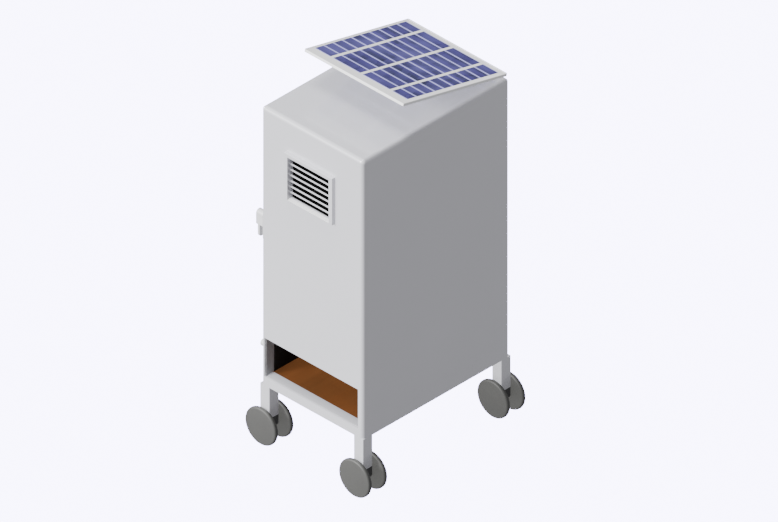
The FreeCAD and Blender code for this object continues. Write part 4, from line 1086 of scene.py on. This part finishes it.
def model_stage():
    """World, lamps and camera."""
    model_world()
    model_lamps()
    model_camera()


# ---------------------------------------------------------------- operators

class CABINET_OT_skin(bpy.types.Operator):
    """Model the cabinet's skin"""
    bl_idname = "cabinet.skin"
    bl_label = "Skin"

    def execute(self, context):
        model_cabinet()
        return {"FINISHED"}


class CABINET_OT_base(bpy.types.Operator):
    """Model the base tubes and the legs"""
    bl_idname = "cabinet.base"
    bl_label = "Base"

    def execute(self, context):
        model_base()
        return {"FINISHED"}


class CABINET_OT_wheels(bpy.types.Operator):
    """Model the eight wheel discs"""
    bl_idname = "cabinet.wheels"
    bl_label = "Wheels"

    def execute(self, context):
        model_wheels()
        return {"FINISHED"}


class CABINET_OT_louvre(bpy.types.Operator):
    """Model the louvre's frame and blades"""
    bl_idname = "cabinet.louvre"
    bl_label = "Louvre"

    def execute(self, context):
        model_louvre()
        return {"FINISHED"}


class CABINET_OT_door(bpy.types.Operator):
    """Model the side door"""
    bl_idname = "cabinet.door"
    bl_label = "Door"

    def execute(self, context):
        model_door()
        return {"FINISHED"}


class CABINET_OT_latch(bpy.types.Operator):
    """Model the latch, its key and the small lock"""
    bl_idname = "cabinet.latch"
    bl_label = "Latch"

    def execute(self, context):
        model_latch()
        return {"FINISHED"}


class CABINET_OT_rear(bpy.types.Operator):
    """Model the rear cover and its screws"""
    bl_idname = "cabinet.rear"
    bl_label = "Rear cover"

    def execute(self, context):
        model_rear()
        return {"FINISHED"}


class CABINET_OT_panel(bpy.types.Operator):
    """Model the solar panel"""
    bl_idname = "cabinet.panel"
    bl_label = "Panel"

    def execute(self, context):
        model_panel()
        return {"FINISHED"}


class CABINET_OT_finishes(bpy.types.Operator):
    """Dress the CAD nodes that stay"""
    bl_idname = "cabinet.finishes"
    bl_label = "Finishes"

    def execute(self, context):
        dress_cad()
        return {"FINISHED"}


class CABINET_OT_stage(bpy.types.Operator):
    """Set up the world, the lamps and the camera"""
    bl_idname = "cabinet.stage"
    bl_label = "Stage"

    def execute(self, context):
        model_stage()
        return {"FINISHED"}


OPERATORS = [
    CABINET_OT_skin, CABINET_OT_base, CABINET_OT_wheels, CABINET_OT_louvre, CABINET_OT_door,
    CABINET_OT_latch, CABINET_OT_rear, CABINET_OT_panel, CABINET_OT_finishes, CABINET_OT_stage,
]


class CABINET_PT_panel(bpy.types.Panel):
    """Sizes, colours and steps of the cabinet"""
    bl_label = "Solar Cabinet"
    bl_idname = "CABINET_PT_panel"
    bl_space_type = "VIEW_3D"
    bl_region_type = "UI"
    bl_category = "Cabinet"

    def draw(self, context):
        for group in (context.scene.cabinet_sizes, context.scene.cabinet_colours):
            box = self.layout.box()
            for name in group.__annotations__:
                box.prop(group, name)
        for step in OPERATORS:
            self.layout.operator(step.bl_idname)


CLASSES = [CabinetSizes, CabinetColours, *OPERATORS, CABINET_PT_panel]


def register():
    for item in CLASSES:
        bpy.utils.register_class(item)
    bpy.types.Scene.cabinet_sizes = bpy.props.PointerProperty(type=CabinetSizes)
    bpy.types.Scene.cabinet_colours = bpy.props.PointerProperty(type=CabinetColours)


def unregister():
    del bpy.types.Scene.cabinet_colours
    del bpy.types.Scene.cabinet_sizes
    for item in reversed(CLASSES):
        bpy.utils.unregister_class(item)


def main():
    """Register the add-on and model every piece."""
    register()
    for step in OPERATORS:
        getattr(bpy.ops.cabinet, step.bl_idname.split(".")[1])()


if __name__ == "__main__":
    main()
